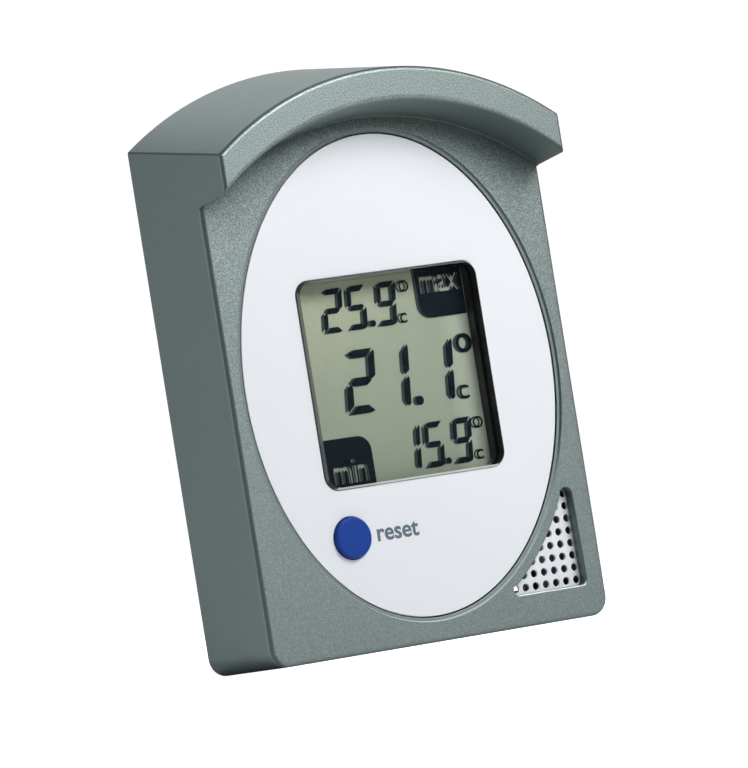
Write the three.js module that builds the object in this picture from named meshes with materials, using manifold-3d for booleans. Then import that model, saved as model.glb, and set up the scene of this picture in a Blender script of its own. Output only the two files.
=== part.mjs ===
// Maximum minimum thermometer. An arched plastic case with a rain hood carries a white oval face
// plate with a display window and a reset button, a perforated sensor grille, a display stack on a
// circuit board, and a rear cover with a battery bay, a hanging keyhole and sensor vents.
//
// Units are millimetres. +X is to the right seen from the front, -Y is the front and +Z is up.
// Pieces are drawn in the case frame, where y = 0 is the case's front face and z = 0 its base.
// The exported group moves that frame so that the origin is the middle of the object's base.
import * as THREE from "three";
import { mergeVertices } from "three/addons/utils/BufferGeometryUtils.js";
import Module from "manifold-3d";

const wasm = await Module();
wasm.setup();

// ---- Driving dimensions ------------------------------------------------------------------

const CASE_WIDTH = 65.0;
const CASE_DEPTH = 19;
const HOOD_DEPTH = 8;
const WALL = 2;
const FRONT_WALL = 3;
const ROOF_WALL = 2.3;
const BASE_CORNER = 3;
const FRONT_ROUNDING = 0.5;
const HOOD_ROUNDING = 0.6;
const OVER_ROOF = 100;

// An arch is the height of its ends, at the case's sides, and of its apex.
const ROOF_FRONT = { ends: 80.2, apex: 90.8 };
const ROOF_BACK = { ends: 84.3, apex: 94.4 };
const UNDER_FRONT = { ends: 74.3, apex: 86.3 };
const UNDER_ROOT = { ends: 73.7, apex: 84.8 };
const ROOT_FILLET = 1.6;

// Oval face plate, let into the front wall
const PLATE = { z: 42.8, halfWidth: 29.35, halfHeight: 38.5, front: 0.5, back: 1.7 };
const PLATE_RIM = 0.25;
const PLATE_BEVEL = { width: 0.8, depth: 0.7 };
const RECESS_FLOOR = 1.8;

// Display window and the parts stacked behind it, all about the same centre
const WINDOW = { z: 42.8, width: 34.5, height: 33.3, corner: 2.5, front: -0.2, back: 1.8 };
const FLANGE = { overhang: 0.6, wall: 1.1, back: 2.7 };
const APERTURE = { width: 37.6, height: 36.6 };
const FRAME = { width: 41.8, height: 38.8, front: 3.15, back: 6.1, maskFront: 2.95, maskBack: 4.05 };
const COLLAR = { width: 37, height: 36, front: 1.95 };
const MASK = { width: 34, height: 33.4 };
const GLASS = { width: 38.6, frontHeight: 36.6, rearHeight: 33.4 };

// Reset button and its switch
const BUTTON = { x: -14, z: 18.4, radius: 3.3, front: -0.4 };
const BUTTON_FLANGE = { radius: 4.2, front: 3.3, back: 3.9 };
const BUTTON_STEM = { radius: 1.5, back: 4.4 };
const SWITCH = { side: 6, coverFront: 5.2, coverBack: 5.45, baseFront: 5.55, bore: 1.7 };

// Sensor grille: a plate behind an opening between the case's edge and a curve round the face plate
const OPENING = { right: 28.65, bottom: 5.25, corner: 0.8, curveOffset: 2.55 };
const OPENING_TOP = { x: 27.6, z: 20, radius: 1.05 };
const OPENING_TIP = { x: 15.65, z: 6.15, radius: 0.9 };
const GRILLE = { front: 1.8, back: 3, overlap: 1.2, pocket: 1.45 };
const HOLES = { x: 28.2, z: 6.2, pitch: 2, radius: 0.62 };

// Circuit board
const BOARD = { front: 8, back: 9.6, top: 63, bottom: 12.5, halfWidth: 25.3, lowHalfWidth: 22.5 };
const POSTS = { x: 23.2, heights: [32, 57], radius: 1.9, pilot: 1.05 };

// Rear cover, its screws and the battery bay
const COVER = { front: 17, gap: 0.25 };
const BOSSES = [[-27.2, 26], [27.2, 26], [-24, 83], [24, 83]];
const BOSS = { radius: 2.6, back: 16.8, pilot: 1.3 };
const BAY = { z: 71, y: 10.6, halfLength: 24.6, halfHeight: 5.9, front: 5, wall: 1.2 };
const DOOR = { halfWidth: 23.7, bottom: 65.4, top: 76.6, front: 17.4, back: 18.95, gap: 0.3 };
const HINGE = { y: 18.15, z: 66.15, pin: 0.5, socket: 0.75, reach: 1.2 };
const KEYHOLE = { z: 82, radius: 3.7, slotZ: 86.6, slotRadius: 2 };
const CELL = { radius: 5.25, left: -21.6, length: 43.5, nubRadius: 1.9, nubLength: 1 };
const VENTS = { left: 22.5, right: 29.2, heights: [5.8, 9.8, 13.8], height: 2 };

const HALF_WIDTH = CASE_WIDTH / 2;
const ORIGIN_SHIFT = (CASE_DEPTH - HOOD_DEPTH) / 2;

// ---- Materials ---------------------------------------------------------------------------

function finish(color, roughness, metalness = 0, opacity = 1) {
  return new THREE.MeshStandardMaterial({ color, roughness, metalness, opacity, transparent: opacity < 1 });
}

const FINISH = {
  housing: finish(0x8b9a98, 0.6),
  plate: finish(0xe6eaee, 0.45),
  clear: finish(0xeef3f3, 0.08, 0, 0.3),
  glass: finish(0xdfe8df, 0.05, 0, 0.4),
  polariser: finish(0xaab29a, 0.3, 0, 0.6),
  reflector: finish(0x9ea78c, 0.5, 0.2),
  black: finish(0x15181a, 0.55),
  button: finish(0x21428e, 0.4),
  rubber: finish(0x9a9c9d, 0.8),
  foam: finish(0x3a3a3c, 0.95),
  board: finish(0x1f5a37, 0.5),
  steel: finish(0xb9bcc0, 0.3, 1),
  brassTerminal: finish(0xc9a95c, 0.35, 1),
  ceramic: finish(0xb59a76, 0.6),
  sleeve: finish(0x3c5f86, 0.35),
  redWire: finish(0xa82020, 0.5),
  blackWire: finish(0x1b1b1d, 0.5),
};

// ---- Shapes and solids -------------------------------------------------------------------

// Outlines are lists of points in the (x, z) plane, anticlockwise seen from the front.
function arcPoints(x, z, radius, from, to, steps) {
  const points = [];
  for (let i = 0; i <= steps; i++) {
    const angle = from + ((to - from) * i) / steps;
    points.push(new THREE.Vector2(x + radius * Math.cos(angle), z + radius * Math.sin(angle)));
  }
  return points;
}

function ovalPoints(offset, steps = 72) {
  const points = [];
  for (let i = 0; i < steps; i++) {
    const angle = (2 * Math.PI * i) / steps;
    const x = (PLATE.halfWidth + offset) * Math.cos(angle);
    const z = PLATE.z + (PLATE.halfHeight + offset) * Math.sin(angle);
    points.push(new THREE.Vector2(x, z));
  }
  return points;
}

// The case seen from the front, without its roof, drawn in by an inset.
function casePoints(inset) {
  const half = HALF_WIDTH - inset;
  const radius = Math.max(BASE_CORNER - inset, 1);
  const low = inset + radius;
  return [
    ...arcPoints(-half + radius, low, radius, Math.PI, 1.5 * Math.PI, 5),
    ...arcPoints(half - radius, low, radius, 1.5 * Math.PI, 2 * Math.PI, 5),
    new THREE.Vector2(half, OVER_ROOF),
    new THREE.Vector2(-half, OVER_ROOF),
  ];
}

function archHeight(arch, x) {
  const rise = arch.apex - arch.ends;
  const radius = (HALF_WIDTH ** 2 + rise ** 2) / (2 * rise);
  return arch.apex - radius + Math.sqrt(radius ** 2 - x ** 2);
}

// Everything below an arch, a little wider than the case
function underArch(arch, steps = 28) {
  const reach = HALF_WIDTH + 1;
  const points = [new THREE.Vector2(-reach, -1), new THREE.Vector2(reach, -1)];
  for (let i = 0; i <= steps; i++) {
    const x = reach - (2 * reach * i) / steps;
    points.push(new THREE.Vector2(x, archHeight(arch, x)));
  }
  return points;
}

// An arch part of the way from one arch to another, lowered by a wall's thickness
function archBetween(front, back, share, lowered = 0) {
  return {
    ends: THREE.MathUtils.lerp(front.ends, back.ends, share) - lowered,
    apex: THREE.MathUtils.lerp(front.apex, back.apex, share) - lowered,
  };
}

function roundedRect(width, height, corner, x = 0, z = 0) {
  const right = width / 2 - corner;
  const up = height / 2 - corner;
  const steps = 5;
  return [
    ...arcPoints(x + right, z + up, corner, 0, 0.5 * Math.PI, steps),
    ...arcPoints(x - right, z + up, corner, 0.5 * Math.PI, Math.PI, steps),
    ...arcPoints(x - right, z - up, corner, Math.PI, 1.5 * Math.PI, steps),
    ...arcPoints(x + right, z - up, corner, 1.5 * Math.PI, 2 * Math.PI, steps),
  ];
}

// A closed solid through outlines with equal numbers of points, each at its own y, front to back
function loft(sections) {
  const count = sections[0].points.length;
  const positions = [];
  for (const { y, points } of sections) {
    for (const point of points) {
      positions.push(point.x, y, point.y);
    }
  }
  const faces = [];
  const last = (sections.length - 1) * count;
  for (const [a, b, c] of THREE.ShapeUtils.triangulateShape(sections[0].points, [])) {
    faces.push(a, b, c);
    faces.push(last + c, last + b, last + a);
  }
  for (let row = 0; row < last; row += count) {
    for (let i = 0; i < count; i++) {
      const j = (i + 1) % count;
      faces.push(row + i, row + count + i, row + j);
      faces.push(row + j, row + count + i, row + count + j);
    }
  }
  const geometry = new THREE.BufferGeometry();
  geometry.setAttribute("position", new THREE.Float32BufferAttribute(positions, 3));
  geometry.setIndex(faces);
  return toSolid(geometry);
}

function toSolid(geometry) {
  const bare = geometry.clone();
  bare.deleteAttribute("normal");
  bare.deleteAttribute("uv");
  const merged = mergeVertices(bare, 1e-4);
  const vertProperties = new Float32Array(merged.attributes.position.array);
  const triVerts = new Uint32Array(merged.index.array);
  return new wasm.Manifold(new wasm.Mesh({ numProp: 3, vertProperties, triVerts }));
}

function toGeometry(solid) {
  const { vertProperties, triVerts } = solid.getMesh();
  const geometry = new THREE.BufferGeometry();
  geometry.setAttribute("position", new THREE.BufferAttribute(vertProperties, 3));
  geometry.setIndex(new THREE.BufferAttribute(triVerts, 1));
  geometry.computeVertexNormals();
  return geometry;
}

function slab(points, yFront, yBack) {
  const geometry = new THREE.ExtrudeGeometry(new THREE.Shape(points), {
    depth: yBack - yFront,
    bevelEnabled: false,
  });
  geometry.rotateX(Math.PI / 2);
  geometry.translate(0, yBack, 0);
  return toSolid(geometry);
}

function box(xRange, yRange, zRange) {
  const geometry = new THREE.BoxGeometry(
    xRange[1] - xRange[0],
    yRange[1] - yRange[0],
    zRange[1] - zRange[0],
  );
  geometry.translate(
    (xRange[0] + xRange[1]) / 2,
    (yRange[0] + yRange[1]) / 2,
    (zRange[0] + zRange[1]) / 2,
  );
  return toSolid(geometry);
}

// A round bar along Y
function barY(x, z, radius, yFront, yBack, sides = 24) {
  const geometry = new THREE.CylinderGeometry(radius, radius, yBack - yFront, sides);
  geometry.translate(x, (yFront + yBack) / 2, z);
  return toSolid(geometry);
}

// A round bar along X
function barX(y, z, radius, left, right, sides = 24) {
  const geometry = new THREE.CylinderGeometry(radius, radius, right - left, sides);
  geometry.rotateZ(Math.PI / 2);
  geometry.translate((left + right) / 2, y, z);
  return toSolid(geometry);
}

// A turned piece along Y from a profile of [radius, y] pairs, front to back
function turnedY(x, z, profile, sides = 24) {
  const points = profile.map(([radius, y]) => new THREE.Vector2(radius, y));
  const geometry = new THREE.LatheGeometry(points, sides);
  geometry.translate(x, 0, z);
  return toSolid(geometry);
}

function centredBox(width, height, yFront, yBack) {
  return box(
    [-width / 2, width / 2],
    [yFront, yBack],
    [WINDOW.z - height / 2, WINDOW.z + height / 2],
  );
}

// A round wire along a smooth curve through points
function wire(points, radius, steps, sides = 8) {
  const path = new THREE.CatmullRomCurve3(points.map(([x, y, z]) => new THREE.Vector3(x, y, z)));
  const section = new THREE.Shape(arcPoints(0, 0, radius, 0, 2 * Math.PI, sides).slice(0, sides));
  return toSolid(new THREE.ExtrudeGeometry(section, { steps, extrudePath: path }));
}

// ---- Case shells -------------------------------------------------------------------------

function roof(lowered = 0) {
  const yFront = -HOOD_DEPTH - 1;
  const yBack = CASE_DEPTH + 1;
  const shareAt = (y) => (y + HOOD_DEPTH) / (CASE_DEPTH + HOOD_DEPTH);
  return loft([
    { y: yFront, points: underArch(archBetween(ROOF_FRONT, ROOF_BACK, shareAt(yFront), lowered)) },
    { y: yBack, points: underArch(archBetween(ROOF_FRONT, ROOF_BACK, shareAt(yBack), lowered)) },
  ]);
}

// The space below the hood, with a fillet where its underside meets the front face
function spaceUnderHood() {
  const steps = 3;
  const section = (y, lowered) => {
    const share = (y + HOOD_DEPTH) / HOOD_DEPTH;
    return { y, points: underArch(archBetween(UNDER_FRONT, UNDER_ROOT, share, lowered)) };
  };
  const sections = [section(-HOOD_DEPTH - 1, 0)];
  for (let i = 0; i <= steps; i++) {
    const angle = (0.5 * Math.PI * i) / steps;
    sections.push(section(-ROOT_FILLET * (1 - Math.sin(angle)), ROOT_FILLET * (1 - Math.cos(angle))));
  }
  sections.push(section(FRONT_ROUNDING + 1, ROOT_FILLET));
  return loft(sections);
}

// The case's outline from yFront to yBack, with its front edge rounded
function roundedBlock(yFront, yBack, rounding) {
  const steps = 4;
  const sections = [];
  for (let i = 0; i <= steps; i++) {
    const angle = (0.5 * Math.PI * i) / steps;
    const y = yFront + rounding * (1 - Math.cos(angle));
    sections.push({ y, points: casePoints(rounding * (1 - Math.sin(angle))) });
  }
  sections.push({ y: yBack, points: casePoints(0) });
  return loft(sections);
}

// The inside of the case between two depths, drawn in by a gap
function cavity(yFront, yBack, gap) {
  const outline = casePoints(WALL + gap);
  return slab(outline, yFront, yBack).intersect(roof(ROOF_WALL + gap));
}

// The sensor opening: a straight right side and bottom, round corners and a curve round the oval
function openingPoints(grow) {
  const right = OPENING.right + grow;
  const bottom = OPENING.bottom - grow;
  const corner = OPENING.corner;
  const across = PLATE.halfWidth + OPENING.curveOffset - grow;
  const along = PLATE.halfHeight + OPENING.curveOffset - grow;
  const topRadius = OPENING_TOP.radius + grow;
  const tipRadius = OPENING_TIP.radius + grow;
  const topAngle = 0.86 * Math.PI;
  const tipAngle = 0.86 * Math.PI;
  const points = [
    ...arcPoints(right - corner, bottom + corner, corner, -0.5 * Math.PI, 0, 4),
    ...arcPoints(OPENING_TOP.x, OPENING_TOP.z, topRadius, 0, topAngle, 6),
  ];
  const steps = 9;
  const topZ = OPENING_TOP.z + topRadius * Math.sin(topAngle);
  const tipZ = OPENING_TIP.z + tipRadius * Math.sin(tipAngle);
  for (let i = 1; i < steps; i++) {
    const z = THREE.MathUtils.lerp(topZ, tipZ, i / steps);
    points.push(new THREE.Vector2(across * Math.sqrt(1 - ((z - PLATE.z) / along) ** 2), z));
  }
  points.push(...arcPoints(OPENING_TIP.x, OPENING_TIP.z, tipRadius, tipAngle, 1.5 * Math.PI, 5));
  return points;
}

function frontHousing() {
  const hood = roundedBlock(-HOOD_DEPTH, FRONT_ROUNDING + 0.5, HOOD_ROUNDING).subtract(spaceUnderHood());
  let shell = roundedBlock(0, CASE_DEPTH, FRONT_ROUNDING).add(hood).intersect(roof());
  shell = shell.subtract(cavity(FRONT_WALL, CASE_DEPTH + 1, 0));
  for (const [x, z] of BOSSES) {
    shell = shell.add(barY(x, z, BOSS.radius, FRONT_WALL - 0.5, BOSS.back, 16));
    shell = shell.subtract(barY(x, z, BOSS.pilot, FRONT_WALL + 2, BOSS.back + 1, 12));
  }
  for (const [x, z] of postPlaces()) {
    shell = shell.add(barY(x, z, POSTS.radius, FRONT_WALL - 0.5, BOARD.front - 0.1, 16));
    shell = shell.subtract(barY(x, z, POSTS.pilot, FRONT_WALL + 1, BOARD.front + 1, 12));
  }
  const recess = slab(ovalPoints(PLATE_RIM), -1, RECESS_FLOOR);
  const bevel = loft([
    { y: -PLATE_BEVEL.depth, points: ovalPoints(PLATE_RIM + 2 * PLATE_BEVEL.width) },
    { y: PLATE_BEVEL.depth, points: ovalPoints(PLATE_RIM) },
  ]);
  const aperture = slab(roundedRect(APERTURE.width, APERTURE.height, WINDOW.corner, 0, WINDOW.z), 0, 4);
  const buttonHole = barY(BUTTON.x, BUTTON.z, BUTTON.radius + 0.25, 0, FRONT_WALL + 1);
  const opening = slab(openingPoints(0), -1, FRONT_WALL + 1);
  const pocket = slab(openingPoints(GRILLE.pocket), GRILLE.front - 0.1, FRONT_WALL + 1);
  for (const cut of [recess, bevel, aperture, buttonHole, opening, pocket]) {
    shell = shell.subtract(cut);
  }
  return shell;
}

function rearCover() {
  const { halfLength, halfHeight, wall, front, z } = BAY;
  const inner = COVER.front + 0.5;
  let cover = cavity(COVER.front, CASE_DEPTH, COVER.gap);
  const bayOuter = box([-halfLength - wall, halfLength + wall], [front - wall, inner],
    [z - halfHeight - wall, z + halfHeight + wall]);
  const cupTop = KEYHOLE.slotZ + KEYHOLE.radius + 0.3;
  const cupOuter = box([-6, 6], [11.8, inner], [z + halfHeight, cupTop + 0.9])
    .intersect(cavity(5, CASE_DEPTH, COVER.gap));
  cover = cover.add(bayOuter).add(cupOuter);
  const cuts = [
    box([-halfLength, halfLength], [front, COVER.front], [z - halfHeight, z + halfHeight]),
    box([-DOOR.halfWidth - DOOR.gap, DOOR.halfWidth + DOOR.gap], [COVER.front - 1, CASE_DEPTH + 1],
      [DOOR.bottom - DOOR.gap, DOOR.top + DOOR.gap]),
    barX(HINGE.y, HINGE.z, HINGE.socket, -DOOR.halfWidth - HINGE.reach - DOOR.gap,
      DOOR.halfWidth + HINGE.reach + DOOR.gap, 12),
    box([-4.6, 4.6], [13, COVER.front], [z + halfHeight + wall + 0.2, cupTop]),
    barY(0, KEYHOLE.z, KEYHOLE.radius, COVER.front - 1, CASE_DEPTH + 1, 24),
    barY(0, KEYHOLE.slotZ, KEYHOLE.slotRadius, COVER.front - 1, CASE_DEPTH + 1, 16),
    box([-KEYHOLE.slotRadius, KEYHOLE.slotRadius], [COVER.front - 1, CASE_DEPTH + 1],
      [KEYHOLE.z, KEYHOLE.slotZ]),
    contactSlot(-1),
    contactSlot(1),
  ];
  for (const [x, z] of BOSSES) {
    cuts.push(barY(x, z, 1.5, COVER.front - 1, CASE_DEPTH + 1, 12));
    cuts.push(barY(x, z, 2.7, CASE_DEPTH - 1.3, CASE_DEPTH + 1, 20));
  }
  for (const low of VENTS.heights) {
    cuts.push(box([VENTS.left, VENTS.right], [COVER.front - 1, CASE_DEPTH + 1], [low, low + VENTS.height]));
  }
  for (const cut of cuts) {
    cover = cover.subtract(cut);
  }
  return cover;
}

// A slot in the floor of the battery bay for a contact's tail
function contactSlot(side) {
  const low = BAY.z - BAY.halfHeight - BAY.wall;
  const inside = side * (BAY.halfLength - 1.5);
  const outside = side * (BAY.halfLength + 0.001);
  const across = [Math.min(inside, outside), Math.max(inside, outside)];
  return box(across, [9.2, 12], [low - 1, low + BAY.wall + 0.5]);
}

function batteryDoor() {
  const radius = (DOOR.back - DOOR.front) / 2;
  const centre = DOOR.front + radius;
  const panel = box([-DOOR.halfWidth, DOOR.halfWidth], [DOOR.front, DOOR.back], [HINGE.z, DOOR.top]);
  const edge = barX(centre, HINGE.z, radius, -DOOR.halfWidth, DOOR.halfWidth, 16);
  const pinEnd = DOOR.halfWidth + HINGE.reach;
  const pins = barX(HINGE.y, HINGE.z, HINGE.pin, -pinEnd, pinEnd, 12);
  const thumbNotch = box([-6, 6], [DOOR.back - 0.6, DOOR.back + 1], [DOOR.top - 3, DOOR.top + 1]);
  return panel.add(edge).add(pins).subtract(thumbNotch);
}

// ---- Face --------------------------------------------------------------------------------

function facePlate() {
  const blank = slab(ovalPoints(0), PLATE.front, PLATE.back);
  const window = roundedRect(WINDOW.width + 0.3, WINDOW.height + 0.3, WINDOW.corner, 0, WINDOW.z);
  const buttonHole = barY(BUTTON.x, BUTTON.z, BUTTON.radius + 0.2, PLATE.front - 1, PLATE.back + 1);
  return blank.subtract(slab(window, PLATE.front - 1, PLATE.back + 1)).subtract(buttonHole);
}

function displayWindow() {
  const { width, height, corner, z } = WINDOW;
  const rim = FLANGE.overhang * 2;
  const pane = slab(roundedRect(width, height, corner, 0, z), WINDOW.front, WINDOW.back + 0.2);
  const flange = slab(roundedRect(width + rim, height + rim, corner, 0, z), WINDOW.back, FLANGE.back);
  const bore = slab(roundedRect(width - FLANGE.wall, height - FLANGE.wall, corner - 0.5, 0, z),
    WINDOW.back, FLANGE.back + 1);
  return pane.add(flange).subtract(bore);
}

function sensorGrille() {
  let plate = slab(openingPoints(GRILLE.overlap), GRILLE.front, GRILLE.back);
  for (const [x, z] of holePlaces()) {
    plate = plate.subtract(barY(x, z, HOLES.radius, GRILLE.front - 1, GRILLE.back + 1, 8));
  }
  return plate;
}

// Holes on a square grid wherever the opening shows at least a part of one
function holePlaces() {
  const across = PLATE.halfWidth + OPENING.curveOffset;
  const along = PLATE.halfHeight + OPENING.curveOffset;
  const margin = 0.35;
  const places = [];
  for (let row = 0; row < 8; row++) {
    for (let column = 0; column < 8; column++) {
      const x = HOLES.x - column * HOLES.pitch;
      const z = HOLES.z + row * HOLES.pitch;
      const radial = Math.hypot((x + margin) / across, (z - PLATE.z) / along);
      if (radial > 1 && x > 15) {
        places.push([x, z]);
      }
    }
  }
  return places;
}

function resetButton() {
  const rounding = 0.5;
  return turnedY(BUTTON.x, BUTTON.z, [
    [0, BUTTON.front],
    [BUTTON.radius - rounding, BUTTON.front],
    [BUTTON.radius - 0.15, BUTTON.front + 0.15],
    [BUTTON.radius, BUTTON.front + rounding],
    [BUTTON.radius, BUTTON_FLANGE.front],
    [BUTTON_FLANGE.radius, BUTTON_FLANGE.front],
    [BUTTON_FLANGE.radius, BUTTON_FLANGE.back],
    [BUTTON_STEM.radius, BUTTON_FLANGE.back],
    [BUTTON_STEM.radius, BUTTON_STEM.back],
    [0, BUTTON_STEM.back],
  ]);
}

// ---- Display stack -----------------------------------------------------------------------

function lcdFrame() {
  const body = centredBox(FRAME.width, FRAME.height, FRAME.front, FRAME.back);
  const collar = slab(roundedRect(COLLAR.width, COLLAR.height, WINDOW.corner, 0, WINDOW.z),
    COLLAR.front, FRAME.front + 0.1);
  const flangeRoom = slab(roundedRect(WINDOW.width + 1.6, WINDOW.height + 1.6, WINDOW.corner, 0, WINDOW.z),
    COLLAR.front - 1, FRAME.maskFront);
  const glassRoom = centredBox(GLASS.width + 0.4, GLASS.frontHeight + 0.4, FRAME.maskBack, FRAME.back + 1);
  return body.add(collar)
    .subtract(flangeRoom)
    .subtract(centredBox(MASK.width, MASK.height, 0, FRAME.back + 1))
    .subtract(glassRoom);
}

function zebraStrip(side) {
  const near = WINDOW.z + side * (GLASS.rearHeight / 2 + 0.2);
  const far = near + side * 1.2;
  return box([-17, 17], [5.35, BOARD.front - 0.1], [Math.min(near, far), Math.max(near, far)]);
}

// ---- Circuit board -----------------------------------------------------------------------

function postPlaces() {
  return POSTS.heights.flatMap((z) => [[-POSTS.x, z], [POSTS.x, z]]);
}

function mainBoard() {
  const { halfWidth, lowHalfWidth, top, bottom } = BOARD;
  const shoulder = 30;
  const sensorSide = 12.5;
  const sensorTop = 24;
  const outline = [
    [-lowHalfWidth, bottom], [sensorSide, bottom], [sensorSide, sensorTop], [lowHalfWidth, sensorTop],
    [lowHalfWidth, shoulder], [halfWidth, shoulder], [halfWidth, top], [-halfWidth, top],
    [-halfWidth, shoulder], [-lowHalfWidth, shoulder],
  ];
  let board = slab(outline.map(([x, z]) => new THREE.Vector2(x, z)), BOARD.front, BOARD.back);
  for (const [x, z] of postPlaces()) {
    board = board.subtract(barY(x, z, 1.15, BOARD.front - 1, BOARD.back + 1, 12));
  }
  return board;
}

function screw(x, z, headRadius, headFront, headBack, shankRadius, tip) {
  const shank = turnedY(x, z, [
    [0, tip],
    [shankRadius * 0.4, tip],
    [shankRadius, tip + 1],
    [shankRadius, headFront],
    [headRadius, headFront],
    [headRadius, headBack - 0.4],
    [headRadius - 0.5, headBack],
    [0, headBack],
  ], 16);
  const arm = headRadius * 0.55;
  const slotFront = headBack - 0.6;
  const across = box([x - arm, x + arm], [slotFront, headBack + 1], [z - 0.25, z + 0.25]);
  const along = box([x - 0.25, x + 0.25], [slotFront, headBack + 1], [z - arm, z + arm]);
  return shank.subtract(across).subtract(along);
}

function switchBase() {
  const { side, baseFront, bore } = SWITCH;
  const half = side / 2;
  const body = box([BUTTON.x - half, BUTTON.x + half], [baseFront, BOARD.front - 0.1],
    [BUTTON.z - half, BUTTON.z + half]);
  return body.subtract(barY(BUTTON.x, BUTTON.z, bore, baseFront - 1, baseFront + 1.7));
}

function switchCover() {
  const half = SWITCH.side / 2;
  const sheet = box([BUTTON.x - half, BUTTON.x + half], [SWITCH.coverFront, SWITCH.coverBack],
    [BUTTON.z - half, BUTTON.z + half]);
  return sheet.subtract(barY(BUTTON.x, BUTTON.z, SWITCH.bore, SWITCH.coverFront - 1, SWITCH.coverBack + 1));
}

function controllerBlob() {
  const front = BOARD.back + 0.1;
  return turnedY(-8, 41, [[0, front], [5, front], [4.9, front + 0.5], [3.6, front + 1.3], [0, front + 1.6]]);
}

// A surface-mounted part on the back of the board
function chip(x, z, width, height, thickness) {
  const front = BOARD.back + 0.1;
  return box([x - width / 2, x + width / 2], [front, front + thickness], [z - height / 2, z + height / 2]);
}

function thermistorBead() {
  const geometry = new THREE.SphereGeometry(1.3, 14, 10);
  geometry.scale(1.35, 1, 1);
  geometry.translate(23, 8.6, 11.5);
  return toSolid(geometry);
}

function thermistorLead(side) {
  const z = 16 + side * 1.3;
  const beadZ = 11.5 + side * 0.5;
  const path = [[10.8, 9.95, z], [13.5, 10.2, z - 0.3], [17, 9.6, beadZ + 2.2], [21.1, 8.6, beadZ]];
  return wire(path, 0.25, 12, 6);
}

// ---- Battery and contacts ----------------------------------------------------------------

function batteryCell() {
  const radius = CELL.radius - 0.3;
  const points = [
    [0, 0], [radius - 0.3, 0], [radius, 0.3], [radius, CELL.length - 0.3], [radius - 0.3, CELL.length],
    [CELL.nubRadius, CELL.length], [CELL.nubRadius, CELL.length + CELL.nubLength],
    [0, CELL.length + CELL.nubLength],
  ].map(([r, along]) => new THREE.Vector2(r, along));
  const geometry = new THREE.LatheGeometry(points, 28);
  geometry.rotateZ(-Math.PI / 2);
  geometry.translate(CELL.left, BAY.y, BAY.z);
  return toSolid(geometry);
}

function batterySleeve() {
  const right = CELL.left + CELL.length;
  const tube = barX(BAY.y, BAY.z, CELL.radius, CELL.left + 0.5, right - 0.5, 28);
  return tube.subtract(barX(BAY.y, BAY.z, CELL.radius - 0.2, CELL.left - 1, right + 1, 28));
}

function batterySpring() {
  const turns = 3;
  const stepsPerTurn = 10;
  const points = [];
  for (let i = 0; i <= turns * stepsPerTurn; i++) {
    const share = i / (turns * stepsPerTurn);
    const angle = 2 * Math.PI * turns * share;
    const radius = THREE.MathUtils.lerp(3.6, 2.2, share);
    const x = THREE.MathUtils.lerp(-23.75, -22.05, share);
    points.push([x, BAY.y + radius * Math.cos(angle), BAY.z + radius * Math.sin(angle)]);
  }
  return wire(points, 0.24, turns * stepsPerTurn, 6);
}

// A sheet contact at one end of the bay, with a tail through the bay's floor
function contact(side) {
  const outer = side * (BAY.halfLength - 0.1);
  const inner = side * (BAY.halfLength - 0.45);
  const xRange = [Math.min(outer, inner), Math.max(outer, inner)];
  const low = BAY.z - BAY.halfHeight;
  const sheet = box(xRange, [BAY.y - 4, BAY.y + 4], [low + 0.8, BAY.z + 4.5]);
  return sheet.add(box(xRange, [9.6, 11.6], [low - BAY.wall - 0.4, low + 1]));
}

function leafContact() {
  const x = BAY.halfLength - 0.45;
  const bump = box([CELL.left + CELL.length + CELL.nubLength + 0.3, x + 0.1], [BAY.y - 1.5, BAY.y + 1.5],
    [BAY.z - 1.5, BAY.z + 1.5]);
  return contact(1).add(bump);
}

function batteryWire(side) {
  const x = side * (BAY.halfLength - 0.9);
  const low = BAY.z - BAY.halfHeight - BAY.wall;
  return wire([
    [x - side * 0.3, 12.6, low - 0.9],
    [x - side * 1.2, 12.4, low - 2.4],
    [x - side * 3.4, 11.4, low - 4.6],
    [x - side * 5, 10.3, low - 6.5],
  ], 0.5, 12);
}

// ---- Assembly ----------------------------------------------------------------------------

const thermometer = new THREE.Group();
const caseFrame = new THREE.Group();
caseFrame.position.y = -ORIGIN_SHIFT;
thermometer.add(caseFrame);

function addPiece(name, solid, material) {
  const mesh = new THREE.Mesh(toGeometry(solid), material);
  mesh.name = name;
  caseFrame.add(mesh);
}

addPiece("front_housing", frontHousing(), FINISH.housing);
addPiece("rear_cover", rearCover(), FINISH.housing);
addPiece("battery_door", batteryDoor(), FINISH.housing);
addPiece("face_plate", facePlate(), FINISH.plate);
addPiece("display_window", displayWindow(), FINISH.clear);
addPiece("sensor_grille", sensorGrille(), FINISH.plate);
addPiece("reset_button", resetButton(), FINISH.button);

addPiece("lcd_frame", lcdFrame(), FINISH.black);
addPiece("lcd_front_polariser", centredBox(37.6, 35.4, 4.15, 4.35), FINISH.polariser);
addPiece("lcd_front_glass", centredBox(GLASS.width, GLASS.frontHeight, 4.45, 5.25), FINISH.glass);
addPiece("lcd_rear_glass", centredBox(GLASS.width, GLASS.rearHeight, 5.35, 6.15), FINISH.glass);
addPiece("lcd_reflector", centredBox(37.6, 32.8, 6.25, 6.5), FINISH.reflector);
addPiece("lcd_foam_pad", centredBox(30, 26, 6.6, BOARD.front - 0.1), FINISH.foam);
addPiece("zebra_strip_upper", zebraStrip(1), FINISH.rubber);
addPiece("zebra_strip_lower", zebraStrip(-1), FINISH.rubber);

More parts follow.
